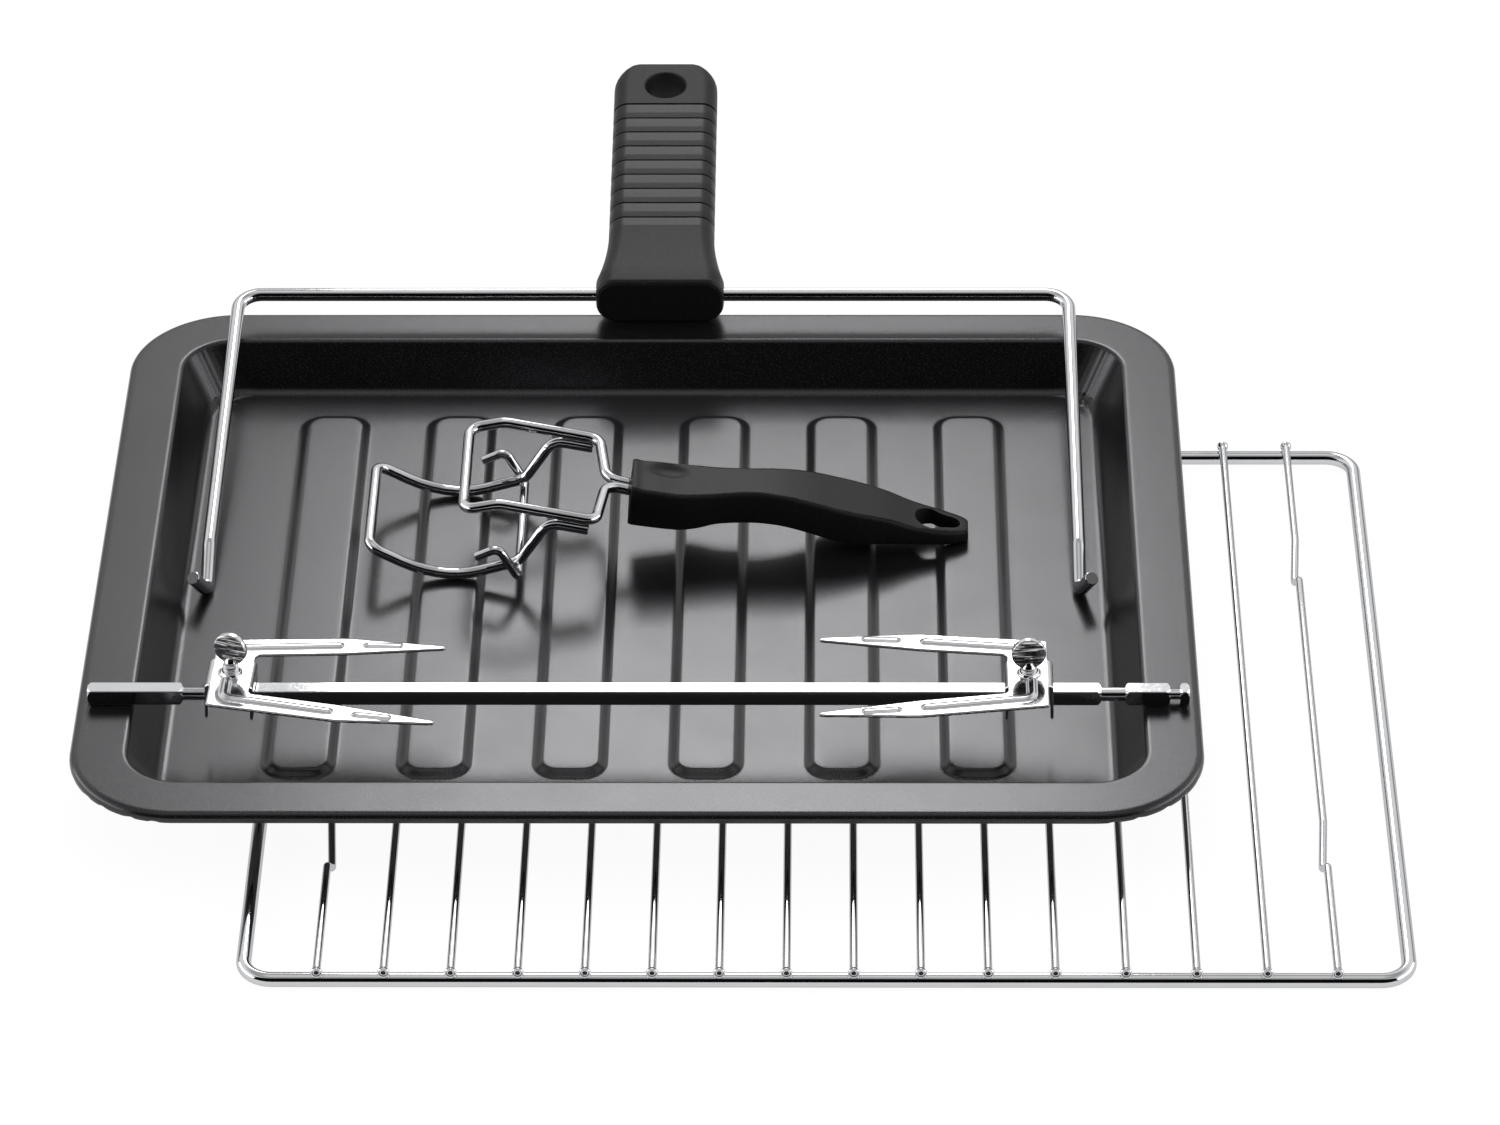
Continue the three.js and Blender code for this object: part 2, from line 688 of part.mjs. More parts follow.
function lowerLoop() {
  const side = (sign) => [
    corner(gripperWeldStart, sign * gripperHalf, upperSideHeight(gripperWeldStart) - weldDrop),
    corner(gripperWeldEnd, sign * gripperHalf, upperSideHeight(gripperWeldEnd) - weldDrop, gripperWeldBend),
    corner(gripperDropX, sign * gripperHalf, gripperDropZ, gripperDropBend),
    corner(gripperBellyX, sign * gripperHalf, -gripperBellySag, gripperBellyBend),
    corner(gripperRiseX, sign * gripperHalf, gripperRiseZ, gripperBellyBend),
    corner(gripperToeX, sign * gripperHalf, gripperToeZ, gripperCorner),
  ];
  return wire([...side(1), ...side(-1).reverse()], gripperWire, 10, 5);
}

// The hook wire crosses under the lower loop and curls up outside it, at both ends.
function hookWire() {
  const slope = (gripperDropZ + gripperBellySag) / (gripperDropX - gripperBellyX);
  const reach = (gripperWire + gripperHookWire) / 2 + seatGap;
  const barZ = gripperDropZ - reach * Math.hypot(1, slope);
  const side = (sign) => {
    const outer = sign * (gripperHalf + hookReach);
    return [
      corner(hookTipX, outer, hookTipZ),
      corner(hookTopX, outer, hookTopZ, hookTopBend),
      corner(gripperDropX, outer, barZ, hookFootBend),
    ];
  };
  return wire([...side(1), ...side(-1).reverse()], gripperHookWire, 8, 5);
}

place('gripper_upper_loop', upperLoop(), chrome, gripper);
place('gripper_lower_loop', lowerLoop(), chrome, gripper);
place('gripper_hook_wire', hookWire(), chrome, gripper);

// The handle's sections: [along, underside, top, width], heights above the tray's ribs.
const handleSections = [
  [handleStartX, 12.4, 27.8, 20],
  [handleStartX + 0.8, 11.8, 28.7, 21.4],
  [handleStartX + 9, 10.6, 27, 22.6],
  [handleStartX + 17, 9.9, 25.8, 23],
  [handleStartX + 24, 10.4, 25.4, 22.2],
  [handleStartX + 31, 11.6, 25.2, 20.2],
  [handleStartX + 44, 11.5, 25.3, 18.2],
  [handleStartX + 55, 10.8, 24.6, 20.2],
  [handleStartX + 66, 8.4, 22.6, 23],
  [handleStartX + 76, 5.2, 19.8, 24.4],
  [handleStartX + 84, 3.8, 17.6, 24.2],
  [handleStartX + 95, 3, 14.4, 21.6],
  [handleStartX + 105, 2.2, 10.2, 19.4],
  [handleEndX - 9, 0.8, 7, 15.6],
  [handleEndX - 3, 0, 5.8, 11.4],
  [handleEndX - 0.6, 0.3, 5.2, 8.4],
  [handleEndX, 1, 4.4, 6.6],
];

// Round towards the handle's middle, narrow at its end.
function teardropCutter() {
  const radius = handleHoleWidth / 2;
  const narrow = handleHoleTip / 2;
  const roundX = radius - handleHoleLength / 2;
  const narrowX = handleHoleLength / 2;
  const hole = new THREE.Shape();
  hole.absarc(roundX, 0, radius, Math.PI / 2, 1.5 * Math.PI, false);
  hole.quadraticCurveTo(narrowX / 2, -radius, narrowX, -narrow);
  hole.lineTo(narrowX, narrow);
  hole.quadraticCurveTo(narrowX / 2, radius, roundX, radius);
  return new THREE.ExtrudeGeometry(hole, { depth: 40, bevelEnabled: false, curveSegments: 8 });
}

function handleBody() {
  const lowest = -gripperWire / 2;
  const rings = handleSections.map(([along, under, top, width]) => (
    roundedRectangle(width / 2, (top - under) / 2, handleRound, 4)
      .map((p) => new THREE.Vector3(along, p.x, lowest + (under + top) / 2 + p.y))
  ));
  let handle = solid(skin(rings));
  for (const sign of [-1, 1]) {
    const bore = wire([
      corner(stemEndX + 1, sign * stemHalf, stemEndZ - gripperStemDrop),
      corner(gripperStemX, sign * stemHalf, gripperStemZ),
    ], gripperWire + 2 * handleBore, 12);
    handle = handle.subtract(solid(bore));
  }
  const hole = teardropCutter();
  hole.translate(handleEndX - handleHoleInset, 0, -10);
  return geometryOf(handle.subtract(solid(hole)));
}

place('gripper_handle', handleBody(), plastic, gripper);

export default assembly;
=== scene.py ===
"""Accessory set of a mini oven: wire rack, baking tray, roasting spit with two forks,
spit lifter and tray gripper. Each group of pieces has its own operator and settings."""
import json
import math

import bmesh
import bpy
from mathutils import Euler, Matrix, Vector

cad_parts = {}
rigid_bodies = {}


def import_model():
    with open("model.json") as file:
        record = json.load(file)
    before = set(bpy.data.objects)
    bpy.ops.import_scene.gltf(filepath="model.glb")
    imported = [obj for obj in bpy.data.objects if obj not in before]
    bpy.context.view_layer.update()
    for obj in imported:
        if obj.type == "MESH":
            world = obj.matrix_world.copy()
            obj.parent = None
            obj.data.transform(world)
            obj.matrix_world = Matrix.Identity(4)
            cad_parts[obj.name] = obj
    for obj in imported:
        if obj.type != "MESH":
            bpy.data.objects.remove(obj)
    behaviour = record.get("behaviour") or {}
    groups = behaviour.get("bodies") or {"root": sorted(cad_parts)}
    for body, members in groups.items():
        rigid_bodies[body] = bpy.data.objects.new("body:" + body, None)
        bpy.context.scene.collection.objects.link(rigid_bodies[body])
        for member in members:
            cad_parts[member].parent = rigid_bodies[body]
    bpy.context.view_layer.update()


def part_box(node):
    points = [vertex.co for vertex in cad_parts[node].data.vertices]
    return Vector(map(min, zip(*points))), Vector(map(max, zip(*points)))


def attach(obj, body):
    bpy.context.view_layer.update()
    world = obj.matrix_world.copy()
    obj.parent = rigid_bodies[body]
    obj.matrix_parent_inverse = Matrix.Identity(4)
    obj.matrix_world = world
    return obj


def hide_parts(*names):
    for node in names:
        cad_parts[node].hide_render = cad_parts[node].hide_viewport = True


bl_info = {
    "name": "Oven Accessory Set",
    "version": (1, 0, 0),
    "blender": (4, 5, 0),
    "location": "3D View > Sidebar > Oven Set",
    "description": "Builds a roasting spit, baking tray, wire rack and their two tools",
    "category": "Add Mesh",
}

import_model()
MM = 0.001
RODS = [f"rack_rod_{number:02d}" for number in range(1, 17)]


def middle(node):
    """Middle of a CAD node's box, and half its size."""
    low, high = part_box(node)
    return (low + high) / 2, (high - low) / 2


RACK_MIDDLE, RACK_HALF = middle("rack_frame")
TRAY_MIDDLE, TRAY_HALF = middle("baking_tray")
SPIT_MIDDLE, SPIT_HALF = middle("spit_bar")
GROUND = RACK_MIDDLE.z - RACK_HALF.z
RIM_TOP = TRAY_MIDDLE.z + TRAY_HALF.z

# Places of the loose pieces on the tray, as in the CAD model.
LEFT_SCREW = Vector((-0.1466, SPIT_MIDDLE.y, SPIT_MIDDLE.z))
RIGHT_SCREW = Vector((0.1406, SPIT_MIDDLE.y, SPIT_MIDDLE.z))
LEFT_FORK = (Matrix.Translation(LEFT_SCREW) @ Matrix.Rotation(math.radians(-2.4), 4, "Z")
             @ Matrix.Rotation(math.radians(2.2), 4, "Y"))
RIGHT_FORK = (Matrix.Translation(RIGHT_SCREW) @ Matrix.Rotation(math.pi, 4, "Z")
              @ Matrix.Rotation(math.radians(1.0), 4, "Y"))
LEFT_HEAD_TURN = math.radians(-15.6)
RIGHT_HEAD_TURN = math.radians(4)
RIGHT_SCREW_SUNK = 2 * MM
LIFTER_PLACE = (Matrix.Translation((0, 0.16146, 0.029508))
                @ Matrix.Rotation(math.radians(7.735), 4, "X"))
GRIPPER_PLACE = Matrix.Translation((0, 0.033, 0.00435))


# ---- Settings ---------------------------------------------------------------------------

def length(name, description, millimetres):
    return bpy.props.FloatProperty(
        name=name, description=description, default=millimetres * MM,
        min=0, precision=5, unit="LENGTH", subtype="DISTANCE")


def colour(name, description, value):
    return bpy.props.FloatVectorProperty(
        name=name, description=description, default=value, size=3, min=0, max=1, subtype="COLOR")


def factor(name, description, value, most=1.0):
    return bpy.props.FloatProperty(
        name=name, description=description, default=value, min=0, max=most, subtype="FACTOR")


def power(name, description, watts):
    return bpy.props.FloatProperty(
        name=name, description=description, default=watts, min=0, unit="POWER")


class RackSettings(bpy.types.PropertyGroup):
    frame_wire: length("Frame wire", "Diameter of the wire that runs round the rack", 5.3)
    rod_wire: length("Rod wire", "Diameter of the cross rods", 2.9)
    corner: length("Corner", "Bend radius of the frame's middle line", 10.5)
    weld: length("Weld", "Half length of the flash at a welded crossing", 2.15)


class TraySettings(bpy.types.PropertyGroup):
    sheet: length("Sheet", "Thickness of the pressed sheet", 0.8)
    corner: length("Corner", "Radius of the tray's outer corners", 40)
    rim: length("Rim", "Width of the rim", 20.5)
    lip: length("Lip", "Height of the folded outer edge", 4)
    rib_rise: length("Rib rise", "Height of the pressed ribs", 2)


class SpitSettings(bpy.types.PropertyGroup):
    bar: length("Bar", "Width of the square bar", 6)
    bar_edge: length("Bar edge", "Rounding of the bar's long edges", 0.4)
    fork_sheet: length("Fork sheet", "Thickness of the forks' sheet", 1.2)
    screw_head: length("Screw head", "Diameter of the thumbscrews' coin heads", 12.4)
    thread: length("Thread", "Outer diameter of the thumbscrews' thread", 5.8)
    pitch: length("Pitch", "Rise of the thread in one turn", 1.0)


class ToolSettings(bpy.types.PropertyGroup):
    lifter_wire: length("Lifter wire", "Diameter of the spit lifter's wire", 5.2)
    loop_wire: length("Loop wire", "Diameter of the tray gripper's two loops", 4.1)
    hook_wire: length("Hook wire", "Diameter of the tray gripper's hook wire", 3.4)
    groove: length("Groove", "Depth of the grooves round the lifter's grip", 0.8)
    dimple: length("Dimple", "Depth of the thumb rest in the gripper's handle", 1.4)


class FinishSettings(bpy.types.PropertyGroup):
    chrome: colour("Chrome", "Colour of the plated wires, the spit and the forks", (0.575, 0.58, 0.59))
    coating: colour("Coating", "Colour of the tray's non-stick coating", (0.007, 0.007, 0.0078))
    moulding: colour("Moulding", "Colour of the grip and the handle", (0.009, 0.009, 0.0095))
    coating_roughness: factor("Coating roughness", "Roughness of the tray's coating", 0.25)
    moulding_roughness: factor("Moulding roughness", "Roughness of the grip and the handle", 0.5)


class StageSettings(bpy.types.PropertyGroup):
    softbox: power("Softbox", "Power of the softbox behind the set", 6.6)
    sides: power("Sides", "Power of each softbox beside the set", 8.0)
    fill: power("Fill", "Power of the lamp overhead", 0.6)
    surround: factor("Surround", "Brightness of the pale studio walls behind and beside the set", 1.1, 2)
    front: factor("Front", "Brightness of the studio in front of the set", 0.004, 2)
    floor: colour("Floor", "Colour of the table", (0.9, 0.9, 0.9))


SETTINGS = {
    "oven_set_rack": RackSettings,
    "oven_set_tray": TraySettings,
    "oven_set_spit": SpitSettings,
    "oven_set_tools": ToolSettings,
    "oven_set_finish": FinishSettings,
    "oven_set_stage": StageSettings,
}


def settings(part):
    return getattr(bpy.context.scene, f"oven_set_{part}")


# ---- Modelling by hand ------------------------------------------------------------------

def start_piece(name):
    """Leaves an empty mesh object at the origin in edit mode, with nothing else selected."""
    if bpy.context.object and bpy.context.object.mode != "OBJECT":
        bpy.ops.object.mode_set(mode="OBJECT")
    bpy.ops.object.select_all(action="DESELECT")
    piece = bpy.data.objects.new(name, bpy.data.meshes.new(name))
    bpy.context.scene.collection.objects.link(piece)
    bpy.context.view_layer.objects.active = piece
    piece.select_set(True)
    bpy.ops.object.mode_set(mode="EDIT")
    bpy.ops.mesh.select_mode(type="VERT")
    return piece


def activate(piece):
    """Makes the piece the only selected object, out of edit mode."""
    if bpy.context.object and bpy.context.object.mode != "OBJECT":
        bpy.ops.object.mode_set(mode="OBJECT")
    bpy.ops.object.select_all(action="DESELECT")
    bpy.context.view_layer.objects.active = piece
    piece.select_set(True)


def select(piece, kind, test):
    """Selects only the vertices, edges or faces that pass the test."""
    bpy.ops.mesh.select_all(action="DESELECT")
    bpy.ops.mesh.select_mode(type=kind)
    mesh = bmesh.from_edit_mesh(piece.data)
    items = {"VERT": mesh.verts, "EDGE": mesh.edges, "FACE": mesh.faces}[kind]
    count = 0
    for item in items:
        if test(item):
            item.select_set(True)
            count += 1
    mesh.select_flush_mode()
    bmesh.update_edit_mesh(piece.data)
    if not count:
        raise RuntimeError(f"{piece.name}: nothing was selected")


def fresh(add, **where):
    """Adds a primitive to the piece in edit mode, as the only selection."""
    bpy.ops.mesh.select_all(action="DESELECT")
    add(**where)


def disc(corners, radius, centre, turn=(0, 0, 0)):
    """Adds a round face, as the start of something drawn out."""
    fresh(bpy.ops.mesh.primitive_circle_add, vertices=corners, radius=radius, fill_type="NGON",
          location=centre, rotation=turn)


def block(size, centre):
    """Adds a box, as a tool that cuts or as the stock that is cut."""
    fresh(bpy.ops.mesh.primitive_cube_add, size=1, location=centre)
    bpy.ops.transform.resize(value=size, center_override=centre)


def push(offset, scale=(1, 1, 1), centre=(0, 0, 0)):
    """Extrudes the selected face by an offset, and resizes its copy about its new centre."""
    bpy.ops.mesh.extrude_region_move(TRANSFORM_OT_translate={"value": tuple(offset)})
    if tuple(scale) != (1, 1, 1):
        bpy.ops.transform.resize(value=tuple(scale), center_override=tuple(centre))


def face_out():
    """Turns every face of the piece in edit mode to point outwards."""
    bpy.ops.mesh.select_all(action="SELECT")
    bpy.ops.mesh.normals_make_consistent(inside=False)


def reshape(piece, move):
    """Moves each selected vertex to the place that move gives for it."""
    mesh = bmesh.from_edit_mesh(piece.data)
    for vertex in mesh.verts:
        if vertex.select:
            vertex.co = move(vertex.co)
    bmesh.update_edit_mesh(piece.data)


def draw_out(levels, axis, centre=(0, 0, 0)):
    """Extrudes the selected face along an axis through levels: a place, and the size there.

    A level has one size, or one for each direction across the axis."""
    at, *size = levels[0]
    for next_at, *next_size in levels[1:]:
        offset, here = Vector(), Vector(centre)
        offset[axis], here[axis] = next_at - at, next_at
        scale = [new / old for new, old in zip(next_size, size)]
        scale *= 3 - len(scale)
        scale.insert(axis, 1)
        push(offset, scale, here)
        at, size = next_at, next_size


def turn_up(corners, levels, axis, centre=(0, 0, 0)):
    """Adds a solid turned about an axis: a disc, drawn out through levels of place and radius."""
    start = Vector(centre)
    start[axis] = levels[0][0]
    disc(corners, levels[0][1], start, ((0, math.pi / 2, 0), (math.pi / 2, 0, 0), (0, 0, 0))[axis])
    draw_out(levels, axis, centre)


def modify(piece, kind, **values):
    """Puts a modifier on the piece and applies it."""
    modifier = piece.modifiers.new(kind.title(), kind)
    for key, value in values.items():
        setattr(modifier, key, value)
    activate(piece)
    bpy.ops.object.modifier_apply(modifier=modifier.name)


def bevel(piece, test, width, segments):
    """Rounds the edges that pass the test, on the piece in edit mode."""
    select(piece, "EDGE", test)
    bpy.ops.mesh.bevel(offset=width, segments=segments, affect="EDGES")


def carve(piece, tool, operation="DIFFERENCE"):
    """Cuts the piece with another one, or joins the two; the other one is used up."""
    modify(piece, "BOOLEAN", object=tool, operation=operation, solver="EXACT")
    bpy.data.objects.remove(tool)


def round_edges(piece, width, angle):
    """Rounds the edges at which the surface turns by more than an angle in degrees."""
    modify(piece, "BEVEL", width=width, segments=3, limit_method="ANGLE",
           angle_limit=math.radians(angle), harden_normals=False)


def place(piece, matrix):
    """Turns and moves the mesh itself, so that the object stays at the origin."""
    activate(piece)
    piece.matrix_world = matrix
    bpy.ops.object.transform_apply(location=True, rotation=True, scale=True)


def copy_piece(piece, name, matrix):
    """Another piece of the same shape, with a mesh of its own, turned and moved in its mesh."""
    activate(piece)
    bpy.ops.object.duplicate(linked=False)
    copy = bpy.context.object
    copy.name = copy.data.name = name
    place(copy, matrix)
    if matrix.is_negative:
        bpy.ops.object.mode_set(mode="EDIT")
        face_out()
        bpy.ops.object.mode_set(mode="OBJECT")
    return copy


def finish(piece, material, body, nodes, smooth=32, flat_faces=False):
    """Smooths the piece, gives it its material, ties it to its body, and hides the CAD nodes that it
    replaces.
    """
    activate(piece)
    bpy.ops.object.shade_smooth_by_angle(angle=math.radians(smooth))
    if flat_faces:
        modify(piece, "WEIGHTED_NORMAL", weight=100, keep_sharp=True)
    piece.data.materials.clear()
    piece.data.materials.append(material)
    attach(piece, body)
    if nodes:
        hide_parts(*nodes)
    return piece


def bend_wire(corners, size, sides=20, steps=8, cut=0.25 * MM):
    """Adds a round wire: straight runs between corners, spun round its bend at each of them.

    A corner is its point, and the radius of its bend where it has one."""
    points = [Vector(corner[:3]) for corner in corners]
    bends = [corner[3] if len(corner) > 3 else 0 for corner in corners]
    along = (points[1] - points[0]).normalized()
    disc(sides, size / 2 - cut, points[0], along.to_track_quat("Z", "Y").to_euler())
    grow = (size / 2) / (size / 2 - cut) if cut else 1
    here = points[0].copy()
    if cut:
        here += along * cut
        push(along * cut, (grow, grow, grow), here)
    for index in range(1, len(points) - 1):
        ahead = (points[index + 1] - points[index]).normalized()
        turn = along.angle(ahead)
        room = 0.49 * min((points[index] - points[index - 1]).length,
                          (points[index + 1] - points[index]).length)
        reach = min(bends[index] * math.tan(turn / 2), room)
        start = points[index] - along * reach
        push(start - here)
        axis = along.cross(ahead).normalized()
        centre = start + axis.cross(along) * (reach / math.tan(turn / 2))
        bpy.ops.mesh.spin(steps=max(2, round(steps * turn / (math.pi / 2)) + 1), angle=-turn,
                          center=centre, axis=axis)
        here = points[index] + ahead * reach
        along = ahead
    push(points[-1] - here - along * cut)
    if cut:
        push(along * cut, (1 / grow, 1 / grow, 1 / grow), points[-1])


def mark_bare_and_painted_shade(piece, share=1.0):
    """The selected faces are sheared steel that the plating hardly reached, painted near-black as
    painted shade on the cut ends.
    """
    mesh = bmesh.from_edit_mesh(piece.data)
    bare_and_painted_shade = mesh.faces.layers.float.new("bare_and_painted_shade")
    for face in mesh.faces:
        face[bare_and_painted_shade] = share if face.select else 0.0
    bmesh.update_edit_mesh(piece.data)


def cut_ends(piece):
    """Selects the round faces at a wire's two ends."""
    select(piece, "FACE", lambda face: len(face.verts) > 4)


def outline(width, depth, corner, steps, centre, turn=(0, 0, 0)):
    """Adds a flat face with round corners."""
    fresh(bpy.ops.mesh.primitive_plane_add, size=1)
    bpy.ops.transform.resize(value=(width, depth, 1), center_override=(0, 0, 0))
    if corner:
        bpy.ops.mesh.bevel(affect="VERTICES", offset=corner, offset_type="OFFSET", segments=steps)
    spin = Euler(turn).to_matrix()
    reshape(bpy.context.object, lambda spot: spin @ spot + Vector(centre))


def capsule(start, end, width, height):
    """Adds a long rounded bead between two points, wider than it is high."""
    start, end = Vector(start), Vector(end)
    along = (end - start).normalized()
    side = Vector((0, 0, 1)).cross(along).normalized()
    fresh(bpy.ops.mesh.primitive_uv_sphere_add, segments=16, ring_count=10, radius=1)

    def stretch(spot):
        centre = end if spot.x > 0 else start
        flat = along * (spot.x * width / 2) + side * (spot.y * width / 2)
        return centre + flat + Vector((0, 0, spot.z * height))

    reshape(bpy.context.object, stretch)


# ---- Finishes ---------------------------------------------------------------------------

# Bare sheared steel, darkened far below real steel: painted shade on cut ends and in their hollows.
BARE_STEEL_AND_PAINTED_SHADE = (0.03, 0.028, 0.027)


def feed(node, links):
    """Feeds a node's inputs from sockets or plain values."""
    for label, source in links.items():
        if isinstance(source, bpy.types.NodeSocket):
            node.id_data.links.new(source, node.inputs[label])
        else:
            node.inputs[label].default_value = source


def add_node(tree, kind, links=(), **values):
    """Adds a node, sets its properties, and feeds its inputs."""
    node = tree.nodes.new(kind)
    for key, value in values.items():
        setattr(node, key, value)
    feed(node, dict(links))
    return node


def noise(tree, vector, scale, detail, rough=0.5):
    return add_node(tree, "ShaderNodeTexNoise", {
        "Vector": vector, "Scale": scale, "Detail": detail, "Roughness": rough}).outputs["Fac"]


def remap(tree, value, start, end, to_start, to_end, **values):
    return add_node(tree, "ShaderNodeMapRange", {
        "Value": value, "From Min": start, "From Max": end, "To Min": to_start, "To Max": to_end},
        **values).outputs["Result"]


def calculate(tree, operation, *terms, **values):
    node = add_node(tree, "ShaderNodeMath", enumerate(terms), operation=operation, **values)
    return node.outputs[0]


def blend(tree, share, first, second):
    return add_node(tree, "ShaderNodeMix", {"Factor": share, "A": first, "B": second},
                    data_type="RGBA").outputs["Result"]


def relief(tree, height, strength, distance, **links):
    return add_node(tree, "ShaderNodeBump", {
        "Height": height, "Strength": strength, "Distance": distance, **links}).outputs["Normal"]


def painted(tree, attribute):
    return add_node(tree, "ShaderNodeAttribute", attribute_name=attribute).outputs["Fac"]


def node_group(name, inputs, outputs):
    """An empty group, whose sockets are of the kind that their defaults show, and its two ends."""
    group = bpy.data.node_groups.new(name, "ShaderNodeTree")
    for way, sockets in (("INPUT", inputs), ("OUTPUT", outputs)):
        for label, value in sockets.items():
            kind = "Float" if isinstance(value, float) else "Vector"
            if kind == "Vector" and value and len(value) == 4:
                kind = "Color"
            socket = group.interface.new_socket(
                name=label, in_out=way, socket_type="NodeSocket" + kind)
            if value is not None:
                socket.default_value = value
    return group, group.nodes.new("NodeGroupInput").outputs, group.nodes.new("NodeGroupOutput")


def grain_group():
    """Fine moulded or sprayed grain: a height, and a fleck mask, over the surface."""
    group, given, put = node_group(
        "Fine grain", {"Vector": None, "Scale": 2500.0, "Flecks": 0.62},
        {"Height": 0.0, "Fleck": 0.0, "Cloud": 0.0})
    fine = noise(group, given["Vector"], given["Scale"], 3.0, 0.6)
    above = calculate(group, "SUBTRACT", fine, given["Flecks"])
    feed(put, {"Height": fine, "Fleck": calculate(group, "MULTIPLY", above, 12.0, use_clamp=True),
               "Cloud": noise(group, given["Vector"], 28.0, 3.0)})
    return group


def plating_group():
    """Bright plating over drawn metal: faint waves, a little dulling and a cloudy tint."""
    group, given, put = node_group(
        "Bright plating",
        {"Vector": None, "Colour": (0.6, 0.6, 0.6, 1), "Smooth": 0.05, "Dull": 0.16},
        {"Colour": (0.6, 0.6, 0.6, 1), "Roughness": 0.0, "Height": 0.0})
    wave = noise(group, given["Vector"], 90.0, 2.0)
    pits = noise(group, given["Vector"], 900.0, 3.0, 0.7)
    tint = add_node(group, "ShaderNodeVectorMath", {
        0: given["Colour"], "Scale": remap(group, wave, 0.3, 0.7, 0.94, 1.0)}, operation="SCALE")
    feed(put, {"Colour": tint.outputs["Vector"], "Height": wave,
               "Roughness": remap(group, pits, 0.45, 0.8, given["Smooth"], given["Dull"])})
    return group


def streak_group():
    """Drawing lines that run along one direction of the surface."""
    group, given, put = node_group(
        "Drawn lines", {"Vector": None, "Across": (1.0, 1.0, 1.0)}, {"Line": 0.0})
    squeeze = add_node(group, "ShaderNodeVectorMath", {0: given["Vector"], 1: given["Across"]},
                       operation="MULTIPLY")
    feed(put, {"Line": noise(group, squeeze.outputs["Vector"], 1.0, 2.0)})
    return group


def effect(tree, name, **inputs):
    """Places one of the shared node groups on the object's own coordinates."""
    makers = {"Fine grain": grain_group, "Bright plating": plating_group, "Drawn lines": streak_group}
    group = bpy.data.node_groups.get(name) or makers[name]()
    where = add_node(tree, "ShaderNodeTexCoord").outputs["Object"]
    return add_node(tree, "ShaderNodeGroup", {"Vector": where, **inputs}, node_tree=group).outputs


def new_material(name):
    material = bpy.data.materials.new(name)
    material.use_nodes = True
    return material, material.node_tree, material.node_tree.nodes["Principled BSDF"]


def chrome_finish(name, smooth=0.05, dull=0.14, across=None, line_depth=0.02 * MM,
                  wave_depth=0.02 * MM):
    """Bright chrome plate, with drawing lines under it where the blank was drawn or rolled."""
    if name in bpy.data.materials:
        return bpy.data.materials[name]
    tint = (*settings("finish").chrome, 1)
    material, tree, shader = new_material(name)
    plating = effect(tree, "Bright plating", Colour=tint, Smooth=smooth, Dull=dull)
    normal = relief(tree, plating["Height"], 0.5, wave_depth)
    if across:
        lines = effect(tree, "Drawn lines", Across=across)
        normal = relief(tree, lines["Line"], 0.6, line_depth, Normal=normal)
    # Marked faces take the near-black bare steel colour: painted shade on the cut ends.
    skin = blend(tree, painted(tree, "bare_and_painted_shade"), plating["Colour"], (*BARE_STEEL_AND_PAINTED_SHADE, 1))
    feed(shader, {"Base Color": skin, "Roughness": plating["Roughness"], "Normal": normal,
                  "Metallic": 1, "Specular Tint": (0.7, 0.7, 0.72, 1)})
    return material


def coating_finish():
    """Charcoal non-stick coating: satin, with a fine grain and faint pale flecks."""
    values = settings("finish")
    material, tree, shader = new_material("charcoal_coating")
    grain = effect(tree, "Fine grain", Scale=2000, Flecks=0.56)
    flecked = blend(tree, grain["Fleck"], (*values.coating, 1),
                    (*[min(1, part * 3.5) for part in values.coating], 1))
    rough = values.coating_roughness
    feed(shader, {"Base Color": flecked, "Normal": relief(tree, grain["Height"], 0.7, 0.035 * MM),
                  "Roughness": remap(tree, grain["Cloud"], 0.3, 0.7, rough - 0.02, rough + 0.02),
                  "Specular IOR Level": 0.5, "Specular Tint": (0.96, 0.96, 1.0, 1)})
    return material


def moulding_finish(name, scale, depth):
    """Black moulded plastic with a spark-eroded grain."""
    values = settings("finish")
    material, tree, shader = new_material(name)
    grain = effect(tree, "Fine grain", Scale=scale, Flecks=0.6)
    flecked = blend(tree, grain["Fleck"], (*values.moulding, 1),
                    (*[min(1, part * 5) for part in values.moulding], 1))
    rough = values.moulding_roughness
    rough = remap(tree, grain["Height"], 0.3, 0.7, rough - 0.05, rough + 0.06)
    polish = painted(tree, "polish")
    gloss = remap(tree, polish, 0, 1, 1.0, 0.8)
    height = remap(tree, polish, 0, 1, 0.7, 0.12)
    feed(shader, {"Base Color": flecked, "Normal": relief(tree, grain["Height"], height, depth),
                  "Roughness": calculate(tree, "MULTIPLY", rough, gloss), "Specular IOR Level": 0.2})
    return material


def screw_finish():
    """Plated steel whose coin faces carry coarse level pressing marks."""
    if "screw_plating" in bpy.data.materials:
        return bpy.data.materials["screw_plating"]
    material, tree, shader = new_material("screw_plating")
    plating = effect(tree, "Bright plating", Colour=(0.6, 0.6, 0.61, 1), Smooth=0.12, Dull=0.25)
    lines = effect(tree, "Drawn lines", Across=(45, 45, 430))
    feed(shader, {"Base Color": plating["Colour"], "Roughness": plating["Roughness"],
                  "Normal": relief(tree, lines["Line"], 1.0, 0.7 * MM), "Metallic": 1})
    return material


# ---- Wire rack --------------------------------------------------------------------------

NOTCHES = (78 * MM, -101 * MM)        # how far an outermost rod's dips are behind the middle
NOTCH_SLOPE, NOTCH_END = 23 * MM, 3.5 * MM
NOTCH_DROP, NOTCH_LEAN = 3.6 * MM, 1.4 * MM
WELD_COLLAR = (
    # place past the rod's end and radius, in millimetres
    (-2.6, 1.2), (-1.9, 1.75), (-1.0, 2.1), (-0.3, 2.15), (0.0, 1.95), (-0.05, 1.65), (-0.7, 1.35))
CORNER_WELD = 0.6 * MM                # how far the outermost rods' flash is set outwards

